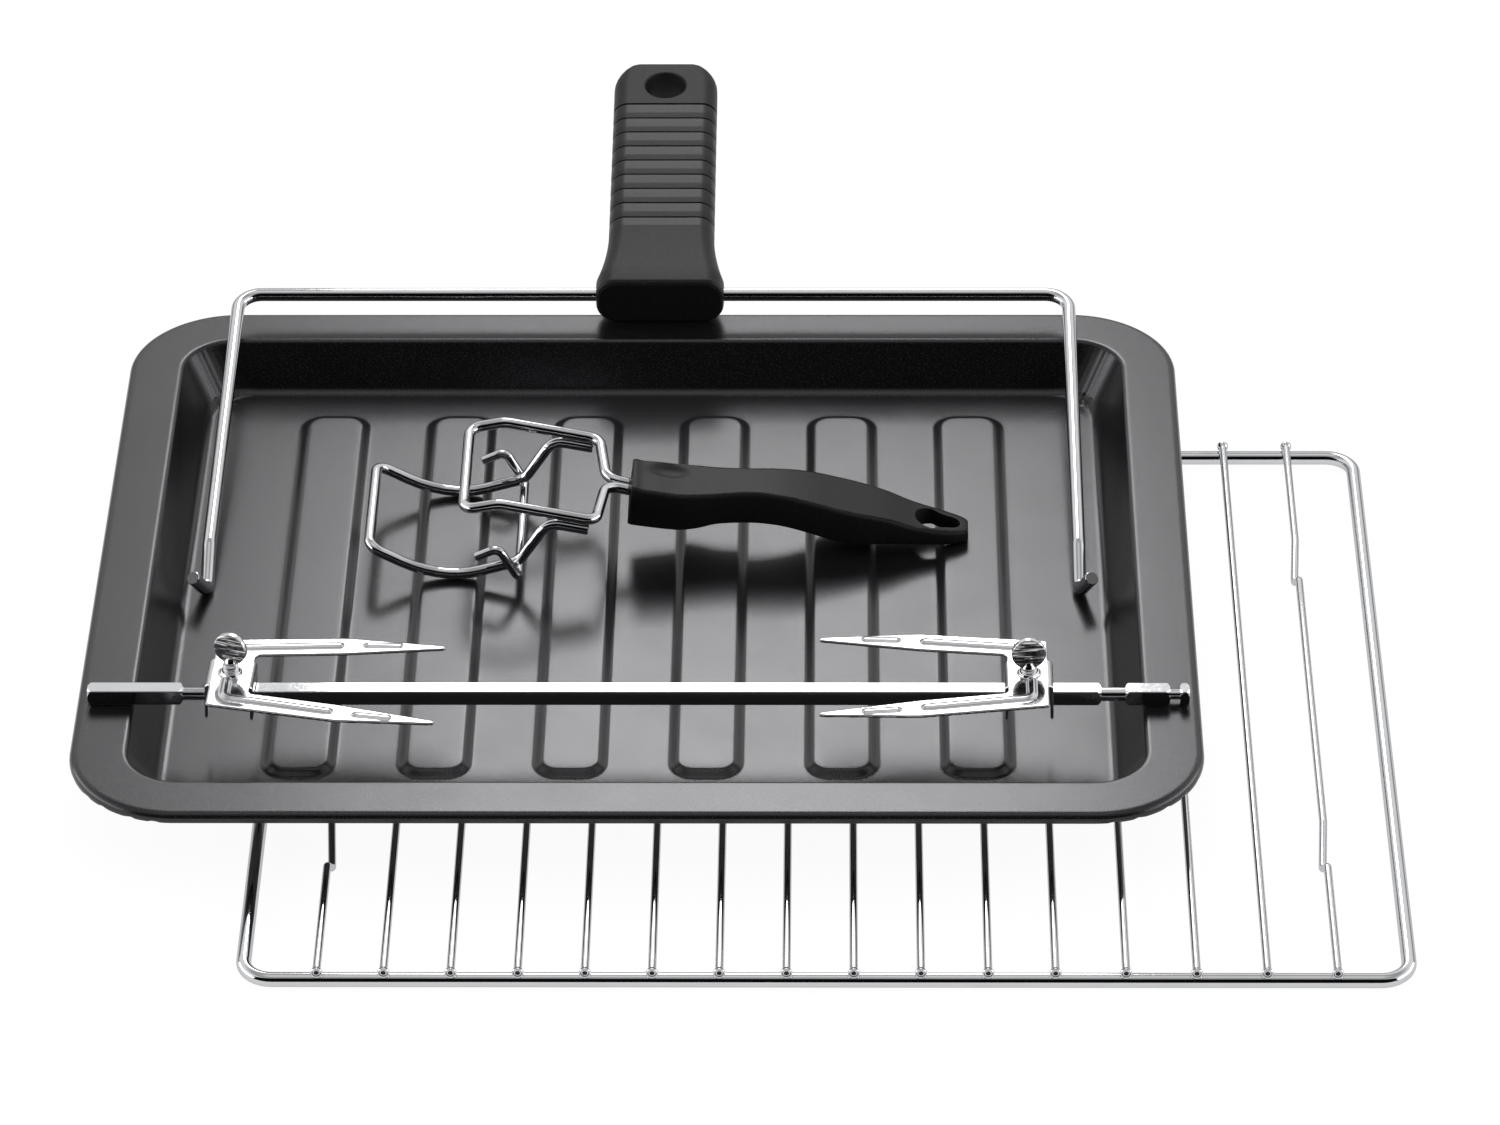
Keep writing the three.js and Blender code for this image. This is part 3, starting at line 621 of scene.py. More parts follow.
class OVENSET_OT_wire_rack(bpy.types.Operator):
    """Build the wire rack: a closed frame, sixteen rods welded on it, and the flash at each weld"""
    bl_idname = "oven_set.wire_rack"
    bl_label = "Wire Rack"

    def execute(self, context):
        values = settings("rack")
        chrome = chrome_finish("rack_plating")
        self.build_frame(values, chrome)
        notched = self.build_rod(RODS[0], True, values)
        straight = self.build_rod(RODS[1], False, values)
        both_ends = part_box(RODS[0])[0].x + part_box(RODS[-1])[1].x
        mirror = Matrix.Translation((both_ends, 0, 0)) @ Matrix.Scale(-1, 4, (1, 0, 0))
        pieces = {RODS[0]: notched, RODS[1]: straight}
        pieces[RODS[-1]] = copy_piece(notched, f"{RODS[-1]}_wire", mirror)
        for node in RODS[2:-1]:
            away = middle(node)[0].x - middle(RODS[1])[0].x
            pieces[node] = copy_piece(straight, f"{node}_wire", Matrix.Translation((away, 0, 0)))
        for node, piece in pieces.items():
            finish(piece, chrome, "rack", [node])
        self.build_welds(values, chrome)
        return {"FINISHED"}

    def build_frame(self, values, chrome):
        """A closed loop of wire, merged in the middle of the front wire."""
        piece = start_piece("rack_frame_wire")
        half = RACK_HALF - Vector((1, 1, 1)) * values.frame_wire / 2
        x, y, z = RACK_MIDDLE
        corners = [(x, y - half.y, z)]
        for side_x, side_y in ((1, -1), (1, 1), (-1, 1), (-1, -1)):
            corners.append((x + side_x * half.x, y + side_y * half.y, z, values.corner))
        corners.append((x, y - half.y, z))
        bend_wire(corners, values.frame_wire, sides=24, steps=14, cut=0)
        cut_ends(piece)
        bpy.ops.mesh.delete(type="ONLY_FACE")
        bpy.ops.mesh.select_all(action="SELECT")
        bpy.ops.mesh.remove_doubles(threshold=0.02 * MM)
        face_out()
        finish(piece, chrome, "rack", ["rack_frame"])

    def build_rod(self, node, outermost, values):
        """The outermost rods dip in two notches that stop the rack tipping out of the oven."""
        piece = start_piece(f"{node}_wire")
        low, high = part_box(node)
        straight, _ = middle(RODS[1])
        x = low.x + values.rod_wire / 2 if outermost else straight.x
        corners = [(x, high.y, straight.z)]
        for deepest in NOTCHES if outermost else ():
            y = RACK_MIDDLE.y + deepest
            corners.append((x, y + NOTCH_SLOPE, straight.z, 8 * MM))
            corners.append((x + NOTCH_LEAN, y, straight.z - NOTCH_DROP, 1.8 * MM))
            corners.append((x, y - NOTCH_END, straight.z, 1.8 * MM))
        corners.append((x, low.y, straight.z))
        bend_wire(corners, values.rod_wire, sides=16)
        self.sink_ends(piece, values)
        face_out()
        return piece

    def sink_ends(self, piece, values):
        """The sheared ends are hollow, and the plating didn't reach into them; the hollows are painted
        near-black as painted shade.
        """
        cut_ends(piece)
        bpy.ops.mesh.inset(thickness=values.rod_wire * 0.1)
        bpy.ops.mesh.inset(thickness=0.15 * MM, depth=-0.5 * MM, use_individual=True)
        mark_bare_and_painted_shade(piece)

    def build_welds(self, values, chrome):
        """The rod ends are squashed into hollow collars where they were welded to the frame."""
        piece = start_piece("rack_weld_flash")
        _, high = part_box(RODS[1])
        x, y, z = middle(RODS[1])[0].x, high.y + 0.05 * MM, high.z - values.rod_wire / 2 - 0.2 * MM
        widest = max(radius for _, radius in WELD_COLLAR)
        levels = [(y + reach * MM, radius * values.weld / widest) for reach, radius in WELD_COLLAR]
        turn_up(18, levels, 1, (x, 0, z))
        # The collar's hollow end face is painted near-black as painted shade.
        mark_bare_and_painted_shade(piece)
        bpy.ops.mesh.select_linked()
        bpy.ops.mesh.normals_make_consistent(inside=False)
        here = Vector((x, y, z))
        for turned in (False, True):
            for node in RODS:
                low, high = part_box(node)
                there = Vector(((low.x + high.x) / 2, here.y, z))
                if node in (RODS[0], RODS[-1]):
                    there.x += math.copysign(CORNER_WELD, there.x - RACK_MIDDLE.x)
                if turned and node == RODS[0]:
                    bpy.ops.mesh.duplicate()
                    bpy.ops.transform.rotate(value=math.pi, orient_axis="Z",
                                             center_override=tuple(here))
                    front = 2 * RACK_MIDDLE.y - here.y
                    bpy.ops.transform.translate(value=(there.x - here.x, front - here.y, 0))
                    there.y = front
                elif node == RODS[1] and not turned:
                    continue
                else:
                    bpy.ops.mesh.duplicate_move(TRANSFORM_OT_translate={"value": tuple(there - here)})
                here = there
        finish(piece, chrome, "rack", [])


# ---- Baking tray ------------------------------------------------------------------------

WALL_RUN = 9.5 * MM
LEAST_CORNER = 15 * MM
FLOOR_Z = 0.0
RIB_COUNT = 6
RIB_PITCH = 48.9 * MM
RIB_WIDTH = 27.5 * MM
RIB_LENGTH = 238.8 * MM
RIB_CORNER = 9.5 * MM
RIB_FLANK = (
    # distance in from the foot and rise, in millimetres, for a rib two millimetres high
    (0.0, 0.0), (1.5, 0.0), (2.0, 0.03), (2.5, 0.12), (3.0, 0.34), (3.5, 0.67), (4.0, 1.0),
    (4.5, 1.33), (5.0, 1.66), (5.5, 1.88), (6.0, 1.97), (6.5, 2.0), (8.0, 2.0))
CRIMPS = (20, 37, 50, 67, 80)     # degrees round each corner
CRIMP_SPREAD = 1.5                # degrees to each side
CRIMP_RISE, CRIMP_REACH, CRIMP_FADE = 0.75 * MM, 0.9 * MM, 0.5 * MM


def arc(inset, height, radius, start, end, steps):
    """Points of a section's round, as pairs of inset and height."""
    angles = [math.radians(start + (end - start) * step / steps) for step in range(steps + 1)]
    return [(inset + radius * math.cos(angle), height + radius * math.sin(angle)) for angle in angles]


class OVENSET_OT_baking_tray(bpy.types.Operator):
    """Build the pressed baking tray with its folded lip, rim, sloping walls and six ribs"""
    bl_idname = "oven_set.baking_tray"
    bl_label = "Baking Tray"

    def section(self, values):
        """From the foot of the lip over the rim and down to the floor: inset and height."""
        depth = RIM_TOP - FLOOR_Z
        slope = math.degrees(math.atan2(depth, WALL_RUN))
        lip_round, rim_round, floor_round = 2.6 * MM, 2.4 * MM, 4.5 * MM
        rim_reach = rim_round * math.tan(math.radians(slope / 2))
        floor_reach = floor_round * math.tan(math.radians(slope / 2))
        wall_foot = values.rim + WALL_RUN + floor_reach
        return [
            (0.5 * MM, RIM_TOP - values.lip),
            (0.1 * MM, RIM_TOP - values.lip + 0.3 * MM),
            (0.0, RIM_TOP - values.lip + 0.8 * MM),
            *arc(lip_round, RIM_TOP - lip_round, lip_round, 180, 90, 8),
            (lip_round + 0.6 * MM, RIM_TOP),
            (values.rim - rim_reach - 0.6 * MM, RIM_TOP),
            *arc(values.rim - rim_reach, RIM_TOP - rim_round, rim_round, 90, 90 - slope, 6),
            *arc(wall_foot, FLOOR_Z + floor_round, floor_round, 270 - slope, 270, 8),
            (wall_foot + 0.6 * MM, FLOOR_Z),
            (wall_foot + 2.2 * MM, FLOOR_Z),
        ]

    def step_in(self, here, there):
        """Takes the selected face from one level of the section to the next."""
        inset, rise = there[0] - here[0], there[1] - here[1]
        if abs(inset) < 1e-6:
            push((0, 0, rise))
        elif there[0] < 0:
            raise ValueError("the section runs outside the tray")
        else:
            narrow = [(half - there[0]) / (half - here[0]) for half in TRAY_HALF[:2]]
            push((0, 0, rise), (*narrow, 1))

    def execute(self, context):
        values = settings("tray")
        piece = start_piece("pressed_tray")
        section = self.section(values)
        start = section[0]
        outline(2 * (TRAY_HALF.x - start[0]), 2 * (TRAY_HALF.y - start[0]), values.corner, 40,
                (0, 0, start[1]))
        for here, there in zip(section, section[1:]):
            keeps_corner = there[0] > values.corner - LEAST_CORNER or there[0] <= here[0]
            if keeps_corner or there[0] - here[0] < 1e-6:
                self.step_in(here, there)
            else:
                bpy.ops.mesh.inset(thickness=there[0] - here[0], depth=there[1] - here[1],
                                   use_even_offset=True)
        select(piece, "FACE", lambda face: len(face.verts) > 40)
        bpy.ops.mesh.delete(type="ONLY_FACE")
        self.add_ribs(values)
        select(piece, "EDGE", lambda edge: edge.is_boundary and all(
            abs(vertex.co.z - FLOOR_Z) < 1e-6 for vertex in edge.verts))
        bpy.ops.mesh.fill(use_beauty=True)
        self.crimp_corners(piece, values)
        face_out()
        self.face_up(piece)
        modify(piece, "SOLIDIFY", thickness=values.sheet, offset=-1, use_even_offset=True)
        finish(piece, coating_finish(), "tray", ["baking_tray"], smooth=40,
               flat_faces=True)
        return {"FINISHED"}

    def add_ribs(self, values):
        """One rib with soft flanks, and its copies."""
        first = -(RIB_COUNT - 1) / 2 * RIB_PITCH
        outline(RIB_WIDTH + 4 * MM, RIB_LENGTH + 4 * MM, RIB_CORNER + 2 * MM, 12, (first, 0, FLOOR_Z))
        bpy.ops.mesh.normals_make_consistent(inside=False)
        for here, there in zip(RIB_FLANK, RIB_FLANK[1:]):
            bpy.ops.mesh.inset(thickness=(there[0] - here[0]) * MM, depth=0, use_even_offset=True)
            rise = (there[1] - here[1]) / 2 * values.rib_rise
            if rise:
                bpy.ops.transform.translate(value=(0, 0, rise))
        bpy.ops.mesh.select_linked()
        for _ in range(RIB_COUNT - 1):
            bpy.ops.mesh.duplicate_move(TRANSFORM_OT_translate={"value": (RIB_PITCH, 0, 0)})

    def crimp_corners(self, piece, values):
        """Small folds in the lip's edge, where the sheet is gathered round each corner."""
        straight_x, straight_y = TRAY_HALF.x - values.corner, TRAY_HALF.y - values.corner

        def crimp(spot):
            past_x, past_y = abs(spot.x) - straight_x, abs(spot.y) - straight_y
            below = RIM_TOP - values.lip + CRIMP_REACH - spot.z
            if min(below, past_x, past_y) > 0:
                angle = math.degrees(math.atan2(past_y, past_x))
                fold = sum(math.exp(-((angle - notch) / CRIMP_SPREAD) ** 2) for notch in CRIMPS)
                spot.z += CRIMP_RISE * fold * min(1, below / CRIMP_FADE)
            return spot

        bpy.ops.mesh.select_all(action="SELECT")
        reshape(piece, crimp)

    def face_up(self, piece):
        """The open sheet's upper side is its outside, because its thickness goes downwards."""
        mesh = bmesh.from_edit_mesh(piece.data)
        up = sum(face.normal.z * face.calc_area() for face in mesh.faces)
        if up < 0:
            bpy.ops.mesh.flip_normals()


# ---- Roasting spit ----------------------------------------------------------------------

SPIT_CHAMFER = 1.25 * MM
NECK, KNOB_NECK = 2.5 * MM, 1.9 * MM     # radii of the turned necks
NECK_RINGS, RING_PITCH = 9, 0.8          # fine rings along the drive end's neck, in millimetres

class OVENSET_OT_spit(bpy.types.Operator):
    """Build the square spit: turned necks and chamfered ends on a square bar"""
    bl_idname = "oven_set.spit"
    bl_label = "Roasting Spit"

    def execute(self, context):
        values = settings("spit")
        piece = start_piece("spit_square_bar")
        half = SPIT_HALF.x
        full = values.bar * 0.75
        corner = values.bar / math.sqrt(2)
        squares = [
            # start and end of what stays square, and the radius of the neck after it
            (-half, -half + 34.3 * MM, NECK),
            (-half + 42.4 * MM, half - 31.8 * MM, NECK),
            (half - 23.0 * MM, half - 7.0 * MM, KNOB_NECK),
            (half - 3.4 * MM, half, KNOB_NECK),
        ]
        turned = []
        for index, (start, end, neck_after) in enumerate(squares):
            edge = min(SPIT_CHAMFER, (end - start) / 3)
            rise = full - corner
            turned += [(start, corner - edge), (start + edge + rise, full),
                       (end - edge - rise, full), (end, corner - edge)]
            if index + 1 < len(squares):
                turned.append((end + 0.02 * MM, neck_after))
                for ring in range(NECK_RINGS if index == 0 else 0):
                    at = end + (0.6 + RING_PITCH * ring) * MM
                    turned += [(at, neck_after), (at + 0.2 * MM, neck_after * 0.9),
                               (at + 0.4 * MM, neck_after * 0.9), (at + 0.6 * MM, neck_after)]
                turned.append((squares[index + 1][0] - 0.02 * MM, neck_after))
        _, y, z = SPIT_MIDDLE
        turn_up(48, turned, 0, (0, y, z))
        face_out()
        bar = start_piece("square_stock")
        block((half * 2.05, values.bar, values.bar), (0, y, z))
        bevel(bar, lambda edge: abs(edge.verts[0].co.x - edge.verts[1].co.x) > half,
              values.bar_edge, 3)
        face_out()
        activate(piece)
        carve(piece, bar, "INTERSECT")
        chrome = chrome_finish("spit_plating", across=(4, 400, 400), line_depth=0.004 * MM,
                               wave_depth=0.01 * MM)
        finish(piece, chrome, "spit", ["spit_bar"], smooth=35, flat_faces=True)
        return {"FINISHED"}


# ---- Forks and thumbscrews --------------------------------------------------------------

WEB_RISE = 9.3 * MM
WEB_WIDTH = 40.6 * MM
BRACKET = 16.3 * MM
FLANGE_WIDTH = 16 * MM
FLANGE_DROP = 5.6 * MM
FOLD = 1.9 * MM                              # radius of the bracket's folds
PRONG_ROOT = 9.2 * MM
BEAD, BEAD_FLATTENED = 3.8 * MM, 0.78
SCREW_PLAY, BAR_PLAY = 0.4 * MM, 1.7 * MM    # room round a screw's radius, and over the bar's width
HEAD_RISE, HEAD_THICK = 10.6 * MM, 2.4 * MM
KNEE_REACH, KNEE_SPAN, KNEE_WIDTH = 39.5 * MM, 51 * MM, 9.6 * MM
TIP_REACH, TIP_SPAN = 75.2 * MM, 48.2 * MM
TIP_OUTLINE = ((-1.2, -1.9), (-0.3, -1.5), (0, -0.9), (-0.4, -0.3), (-1.6, 0.02))   # millimetres


class OVENSET_OT_forks(bpy.types.Operator):
    """Build the two stamped forks with their beads, folded flanges and rounded edges"""
    bl_idname = "oven_set.forks"
    bl_label = "Roasting Forks"

    def execute(self, context):
        chrome = chrome_finish("fork_plating", smooth=0.12, dull=0.26, across=(40, 900, 900),
                               wave_depth=0.12 * MM)
        left = self.build_fork("fork_left_stamping")
        right = copy_piece(left, "fork_right_stamping", RIGHT_FORK)
        place(left, LEFT_FORK)
        finish(left, chrome, "fork_left", ["fork_left"], smooth=180)
        finish(right, chrome, "fork_right", ["fork_right"], smooth=180)
        return {"FINISHED"}

    def build_fork(self, name):
        values = settings("spit")
        piece = start_piece(name)
        sheet = values.fork_sheet
        side = BRACKET / 2 + sheet / 2
        outer = 1.75 * MM - side
        root = WEB_WIDTH / 2 - PRONG_ROOT
        half = [(side, root + 1.0 * MM), (KNEE_REACH, KNEE_SPAN / 2 - KNEE_WIDTH),
                *[(TIP_REACH + x * MM, TIP_SPAN / 2 + y * MM) for x, y in TIP_OUTLINE],
                (KNEE_REACH, KNEE_SPAN / 2),
                (outer + 1.0 * MM, WEB_WIDTH / 2), (outer + 0.25 * MM, WEB_WIDTH / 2 - 0.25 * MM),
                (outer, WEB_WIDTH / 2 - 1.0 * MM)]
        waist = [(side - 1.2 * MM, -root + 0.4 * MM), (side - 1.2 * MM, root - 0.4 * MM)]
        ring = half + [(x, -y) for x, y in reversed(half)] + waist
        disc(len(ring), 1, (0, 0, 0))
        spots = iter(ring)
        reshape(piece, lambda spot: Vector((*next(spots), WEB_RISE - sheet)))
        bpy.ops.mesh.normals_make_consistent(inside=False)
        push((0, 0, sheet))
        face_out()
        carve(piece, self.channel(sheet), "UNION")
        carve(piece, self.collar(values.thread), "UNION")
        carve(piece, self.bar_opening(values.bar))
        carve(piece, self.screw_hole(values.thread))
        beads = self.beads()
        activate(piece)
        beads.select_set(True)
        bpy.ops.object.join()
        modify(piece, "REMESH", mode="VOXEL", voxel_size=0.34 * MM, adaptivity=0)
        modify(piece, "SMOOTH", factor=0.5, iterations=4)
        return piece

    def channel(self, sheet):
        """The folded bracket: a box open below and on two sides, with round folds on top."""
        box = start_piece("bracket_tool")
        height = WEB_RISE + FLANGE_DROP
        centre = (0, 0, WEB_RISE - height / 2)
        block((BRACKET + sheet, FLANGE_WIDTH, height), centre)
        bevel(box, lambda edge: all(v.co.z > WEB_RISE - 0.1 * MM for v in edge.verts)
              and abs(edge.verts[0].co.x - edge.verts[1].co.x) < 0.1 * MM, FOLD, 5)
        select(box, "FACE", lambda face: face.normal.z < -0.5 or abs(face.normal.y) > 0.5)
        bpy.ops.mesh.delete(type="FACE")
        modify(box, "SOLIDIFY", thickness=sheet, offset=-1, use_even_offset=True)
        return box

    def collar(self, thread):
        """The neck drawn up round the screw hole."""
        neck = start_piece("collar_tool")
        z = WEB_RISE - 0.6 * MM
        disc(40, thread / 2 + 1.6 * MM, (0, 0, z))
        push((0, 0, 0.8 * MM), (0.86, 0.86, 1), (0, 0, z + 0.8 * MM))
        push((0, 0, 1.0 * MM), (0.94, 0.94, 1), (0, 0, z + 1.8 * MM))
        push((0, 0, 0.4 * MM), (0.9, 0.9, 1), (0, 0, z + 2.2 * MM))
        face_out()
        return neck

    def beads(self):
        """Stiffening beads pressed up along both prongs; the long ones turn in to the screw."""
        tool = start_piece("bead_tool")
        z = WEB_RISE - 0.5 * MM
        for side in (-1, 1):
            root, knee = (-0.8 * MM, side * 5 * MM, z), (37 * MM, side * 20.4 * MM, z)
            corner = (-0.8 * MM, side * 15.4 * MM, z, 3.2 * MM)
            bend_wire([root, corner, knee], BEAD, cut=0)
            for spot in (root, knee):
                fresh(bpy.ops.mesh.primitive_uv_sphere_add, segments=20, ring_count=12,
                      radius=BEAD / 2, location=spot)
            near, far = (47.3 * MM, side * 21.6 * MM, z), (58.5 * MM, side * 22.3 * MM, z)
            capsule(near, far, 3.2 * MM, 1.6 * MM)
        bpy.ops.mesh.select_all(action="SELECT")
        bpy.ops.transform.resize(value=(1, 1, BEAD_FLATTENED), center_override=(0, 0, z))
        bpy.ops.mesh.normals_make_consistent(inside=False)
        bpy.ops.object.mode_set(mode="OBJECT")
        return tool

    def bar_opening(self, bar):
        """The square opening that the bar passes through."""
        box = start_piece("opening_tool")
        opening = bar + BAR_PLAY
        block((BRACKET * 2, opening, opening), (0, 0, 0))
        return box

    def screw_hole(self, thread):
        drill = start_piece("drill_tool")
        fresh(bpy.ops.mesh.primitive_cylinder_add, vertices=32, radius=thread / 2 + SCREW_PLAY,
              depth=8 * MM, location=(0, 0, WEB_RISE))
        return drill


class OVENSET_OT_thumbscrews(bpy.types.Operator):
    """Build the two thumbscrews: a coin head on a real thread"""
    bl_idname = "oven_set.thumbscrews"
    bl_label = "Thumbscrews"

    def execute(self, context):
        left = LEFT_FORK @ Matrix.Rotation(LEFT_HEAD_TURN, 4, "Z")
        right = RIGHT_FORK @ Matrix.Rotation(RIGHT_HEAD_TURN + math.pi, 4, "Z")
        self.build_screw("thumbscrew_left_coin", "thumbscrew_left", left, 0)
        self.build_screw("thumbscrew_right_coin", "thumbscrew_right", right, RIGHT_SCREW_SUNK)
        return {"FINISHED"}

    def build_screw(self, name, node, matrix, sunk):
        values = settings("spit")
        foot = values.bar / 2 + 0.45 * MM
        head_z = WEB_RISE + HEAD_RISE - sunk
        radius = values.screw_head / 2
        core = values.thread / 2 - 0.55 * MM
        piece = start_piece(name)
        neck = head_z - radius
        levels = [(foot, core * 0.7), (foot + 0.8 * MM, core), (neck - 0.3 * MM, core),
                  (neck + 0.5 * MM, core * 1.12), (neck + 1.6 * MM, core * 0.8),
                  (neck + 2.8 * MM, core * 0.5)]
        turn_up(32, levels, 2)
        fresh(bpy.ops.mesh.primitive_cylinder_add, vertices=56, radius=radius, depth=HEAD_THICK,
              location=(0, 0, head_z), rotation=(math.pi / 2, 0, 0))
        face_out()
        round_edges(piece, 0.4 * MM, 50)
        thread = self.thread_coil(values, core, foot + 0.7 * MM, neck + 0.2 * MM)
        activate(piece)
        thread.select_set(True)
        bpy.ops.object.join()
        place(piece, matrix)
        finish(piece, screw_finish(), node, [node], smooth=40)

    def thread_coil(self, values, core, low, high):
        """A V-shaped ridge wound up the shank."""
        coil = start_piece("thread_coil")
        crest = values.thread / 2
        half = values.pitch * 0.46
        root = core - 0.1 * MM
        corners = iter([(root, 0, low - half), (crest, 0, low), (root, 0, low + half)])
        disc(3, half, (0, 0, 0))
        reshape(coil, lambda spot: Vector(next(corners)))
        bpy.ops.mesh.delete(type="ONLY_FACE")
        turns = int((high - low) / values.pitch)
        modify(coil, "SCREW", angle=2 * math.pi, screw_offset=values.pitch, iterations=turns,
               steps=28, render_steps=28, axis="Z", use_merge_vertices=False,
               use_normal_calculate=True)
        bpy.ops.object.mode_set(mode="EDIT")
        select(coil, "EDGE", lambda edge: edge.is_boundary)
        bpy.ops.mesh.edge_face_add()
        face_out()
        bpy.ops.object.mode_set(mode="OBJECT")
        return coil


# ---- Spit lifter ------------------------------------------------------------------------

HOOK_HALF = 162.85 * MM
LEG = 146.3 * MM
GRIP_WIDTH, GRIP_HEIGHT = 41.6, 17           # behind the collar, in millimetres, as are
GRIP_LAND, GRIP_END = 32.7, 139              # these places along the grip
GRIP_PITCH, GROOVE_RAMP = 9.12, 3.5
GRIP_LINES = [37.7 + GRIP_PITCH * step for step in range(9)]
GRIP_SHIFT = 2.5 * MM
GRIP_HOLE_Y = 123 * MM
GRIP_HOLE_BELOW, GRIP_HOLE_ABOVE = 6.5 * MM, 8.9 * MM    # radii of the drafted hole, 20 mm out


class OVENSET_OT_lifter(bpy.types.Operator):
    """Build the spit lifter: a bent wire with two hooks, and a grooved grip on its crossbar"""
    bl_idname = "oven_set.lifter"
    bl_label = "Spit Lifter"

    def execute(self, context):
        values = settings("tools")
        piece = start_piece("lifter_bent_wire")
        sides = []
        for side in (-1, 1):
            hook = -0.85 * MM + side * HOOK_HALF
            foot = -LEG - 19.7 * MM
            sides.append([
                # the crossbar's end, the end of the leg, and the hook's foot and tip
                (side * (HOOK_HALF - 0.95 * MM), 0, 0, 9 * MM),
                (hook, -LEG, 0, 8.8 * MM),
                (hook, foot, -5.4 * MM, 4.4 * MM),
                (hook + side * 4.2 * MM, foot - 5.3 * MM, 5.6 * MM),
            ])
        bend_wire(sides[0][::-1] + sides[1], values.lifter_wire, sides=24, steps=12)
        cut_ends(piece)
        # The cut ends are painted three-quarters near-black, as bare steel and painted shade.
        mark_bare_and_painted_shade(piece, 0.75)
        face_out()
        place(piece, LIFTER_PLACE)
        chrome = chrome_finish("tool_plating")
        finish(piece, chrome, "lifter", ["lifter_wire"])
        self.build_grip(values)
        return {"FINISHED"}

    def grip_levels(self, groove):
        """Sections of the grip: place along it, width and height, all in millimetres."""
        depth = groove / MM
        levels = [(-5, 47.2, 17.6), (-4.4, 49, 19.6), (-3.4, 49.8, 20.8), (-2, 50, 21), (3, 50, 21)]
        for step in range(1, 9):
            share = step / 8
            ease = 1 - (1 - share) ** 1.8
            levels.append((3 + 29 * share, 50 - 8.4 * ease, 21 - 4 * ease))
        levels.append((GRIP_LAND, GRIP_WIDTH, GRIP_HEIGHT))
        for line in GRIP_LINES:
            body = self.body_height(line)
            for offset, sink in ((-0.52, 0.0), (-0.5, 1.6), (0.5, 1.6), (0.52, 0.25),
                                 (GROOVE_RAMP, 0.0)):
                levels.append((line + offset, GRIP_WIDTH - 2 * depth * sink, body - 2 * depth * sink))
        levels[-1] = (GRIP_LINES[-1] + 0.56, GRIP_WIDTH, self.body_height(GRIP_LINES[-1]))
        levels.append((124, GRIP_WIDTH, self.body_height(124)))
        for step in range(9):
            turn = math.radians(90 * step / 8)
            y = 126 + 13 * math.sin(turn)
            blunt = min(1, max(0, y - 135.6) / 3.4)
            height = self.body_height(y) - 5 * (1 - math.sqrt(1 - blunt ** 2))
            levels.append((y, GRIP_WIDTH - 20 * (1 - math.cos(turn)), height))
        return levels

    def body_height(self, y):
        """The grip tapers to its free end."""
        return GRIP_HEIGHT - 2.5 * (y - GRIP_LAND) / (GRIP_END - GRIP_LAND)

    def build_grip(self, values):
        piece = start_piece("lifter_moulded_grip")
        levels = [[size * MM for size in level] for level in self.grip_levels(values.groove)]
        y, width, height = levels[0]
        outline(width, height, 7 * MM, 9, (0, y, 0), (math.pi / 2, 0, 0))
        draw_out(levels, 1)
        face_out()
        drill = start_piece("grip_drill")
        turn_up(64, [(-20 * MM, GRIP_HOLE_BELOW), (20 * MM, GRIP_HOLE_ABOVE)], 2, (0, GRIP_HOLE_Y, 0))
        face_out()
        carve(piece, drill)
        self.round_hole(piece)
        self.mark_lands(piece)
        place(piece, LIFTER_PLACE @ Matrix.Translation((GRIP_SHIFT, 0, 0)))
        finish(piece, moulding_finish("grip_moulding", 2300, 0.1 * MM), "lifter",
               ["lifter_grip"], smooth=13.5, flat_faces=True)

    def mark_lands(self, piece):
        """The flats between the grooves are polished, and everything else is grained."""
        polish = piece.data.attributes.new("polish", "FLOAT", "FACE")
        for face in piece.data.polygons:
            y = face.center.y / MM
            flats = [(GRIP_LAND, GRIP_LINES[0])]
            flats += [(line + GROOVE_RAMP, line + GRIP_PITCH) for line in GRIP_LINES[:-1]]
            on_flat = any(start <= y <= end for start, end in flats) and abs(face.normal.y) < 0.5
            polish.data[face.index].value = 1.0 if on_flat else 0.0

    def round_hole(self, piece):
        """Softens the rim of the hanging hole on both faces."""
        activate(piece)
        bpy.ops.object.mode_set(mode="EDIT")

        def on_rim(edge):
            for x, y, z in (vertex.co for vertex in edge.verts):
                out = math.hypot(x, y - GRIP_HOLE_Y)
                if abs(out - 7.7 * MM) >= 0.7 * MM or abs(abs(z) - 7.5 * MM) >= 0.6 * MM:
                    return False
            return True

        bevel(piece, on_rim, 0.7 * MM, 3)
        bpy.ops.object.mode_set(mode="OBJECT")


# ---- Tray gripper -----------------------------------------------------------------------

LOOP_HALF = 27.8      # half the loops' width between wire middles, in millimetres
HOOK_OUT = 4.8        # how far outside the loops the hook wire runs


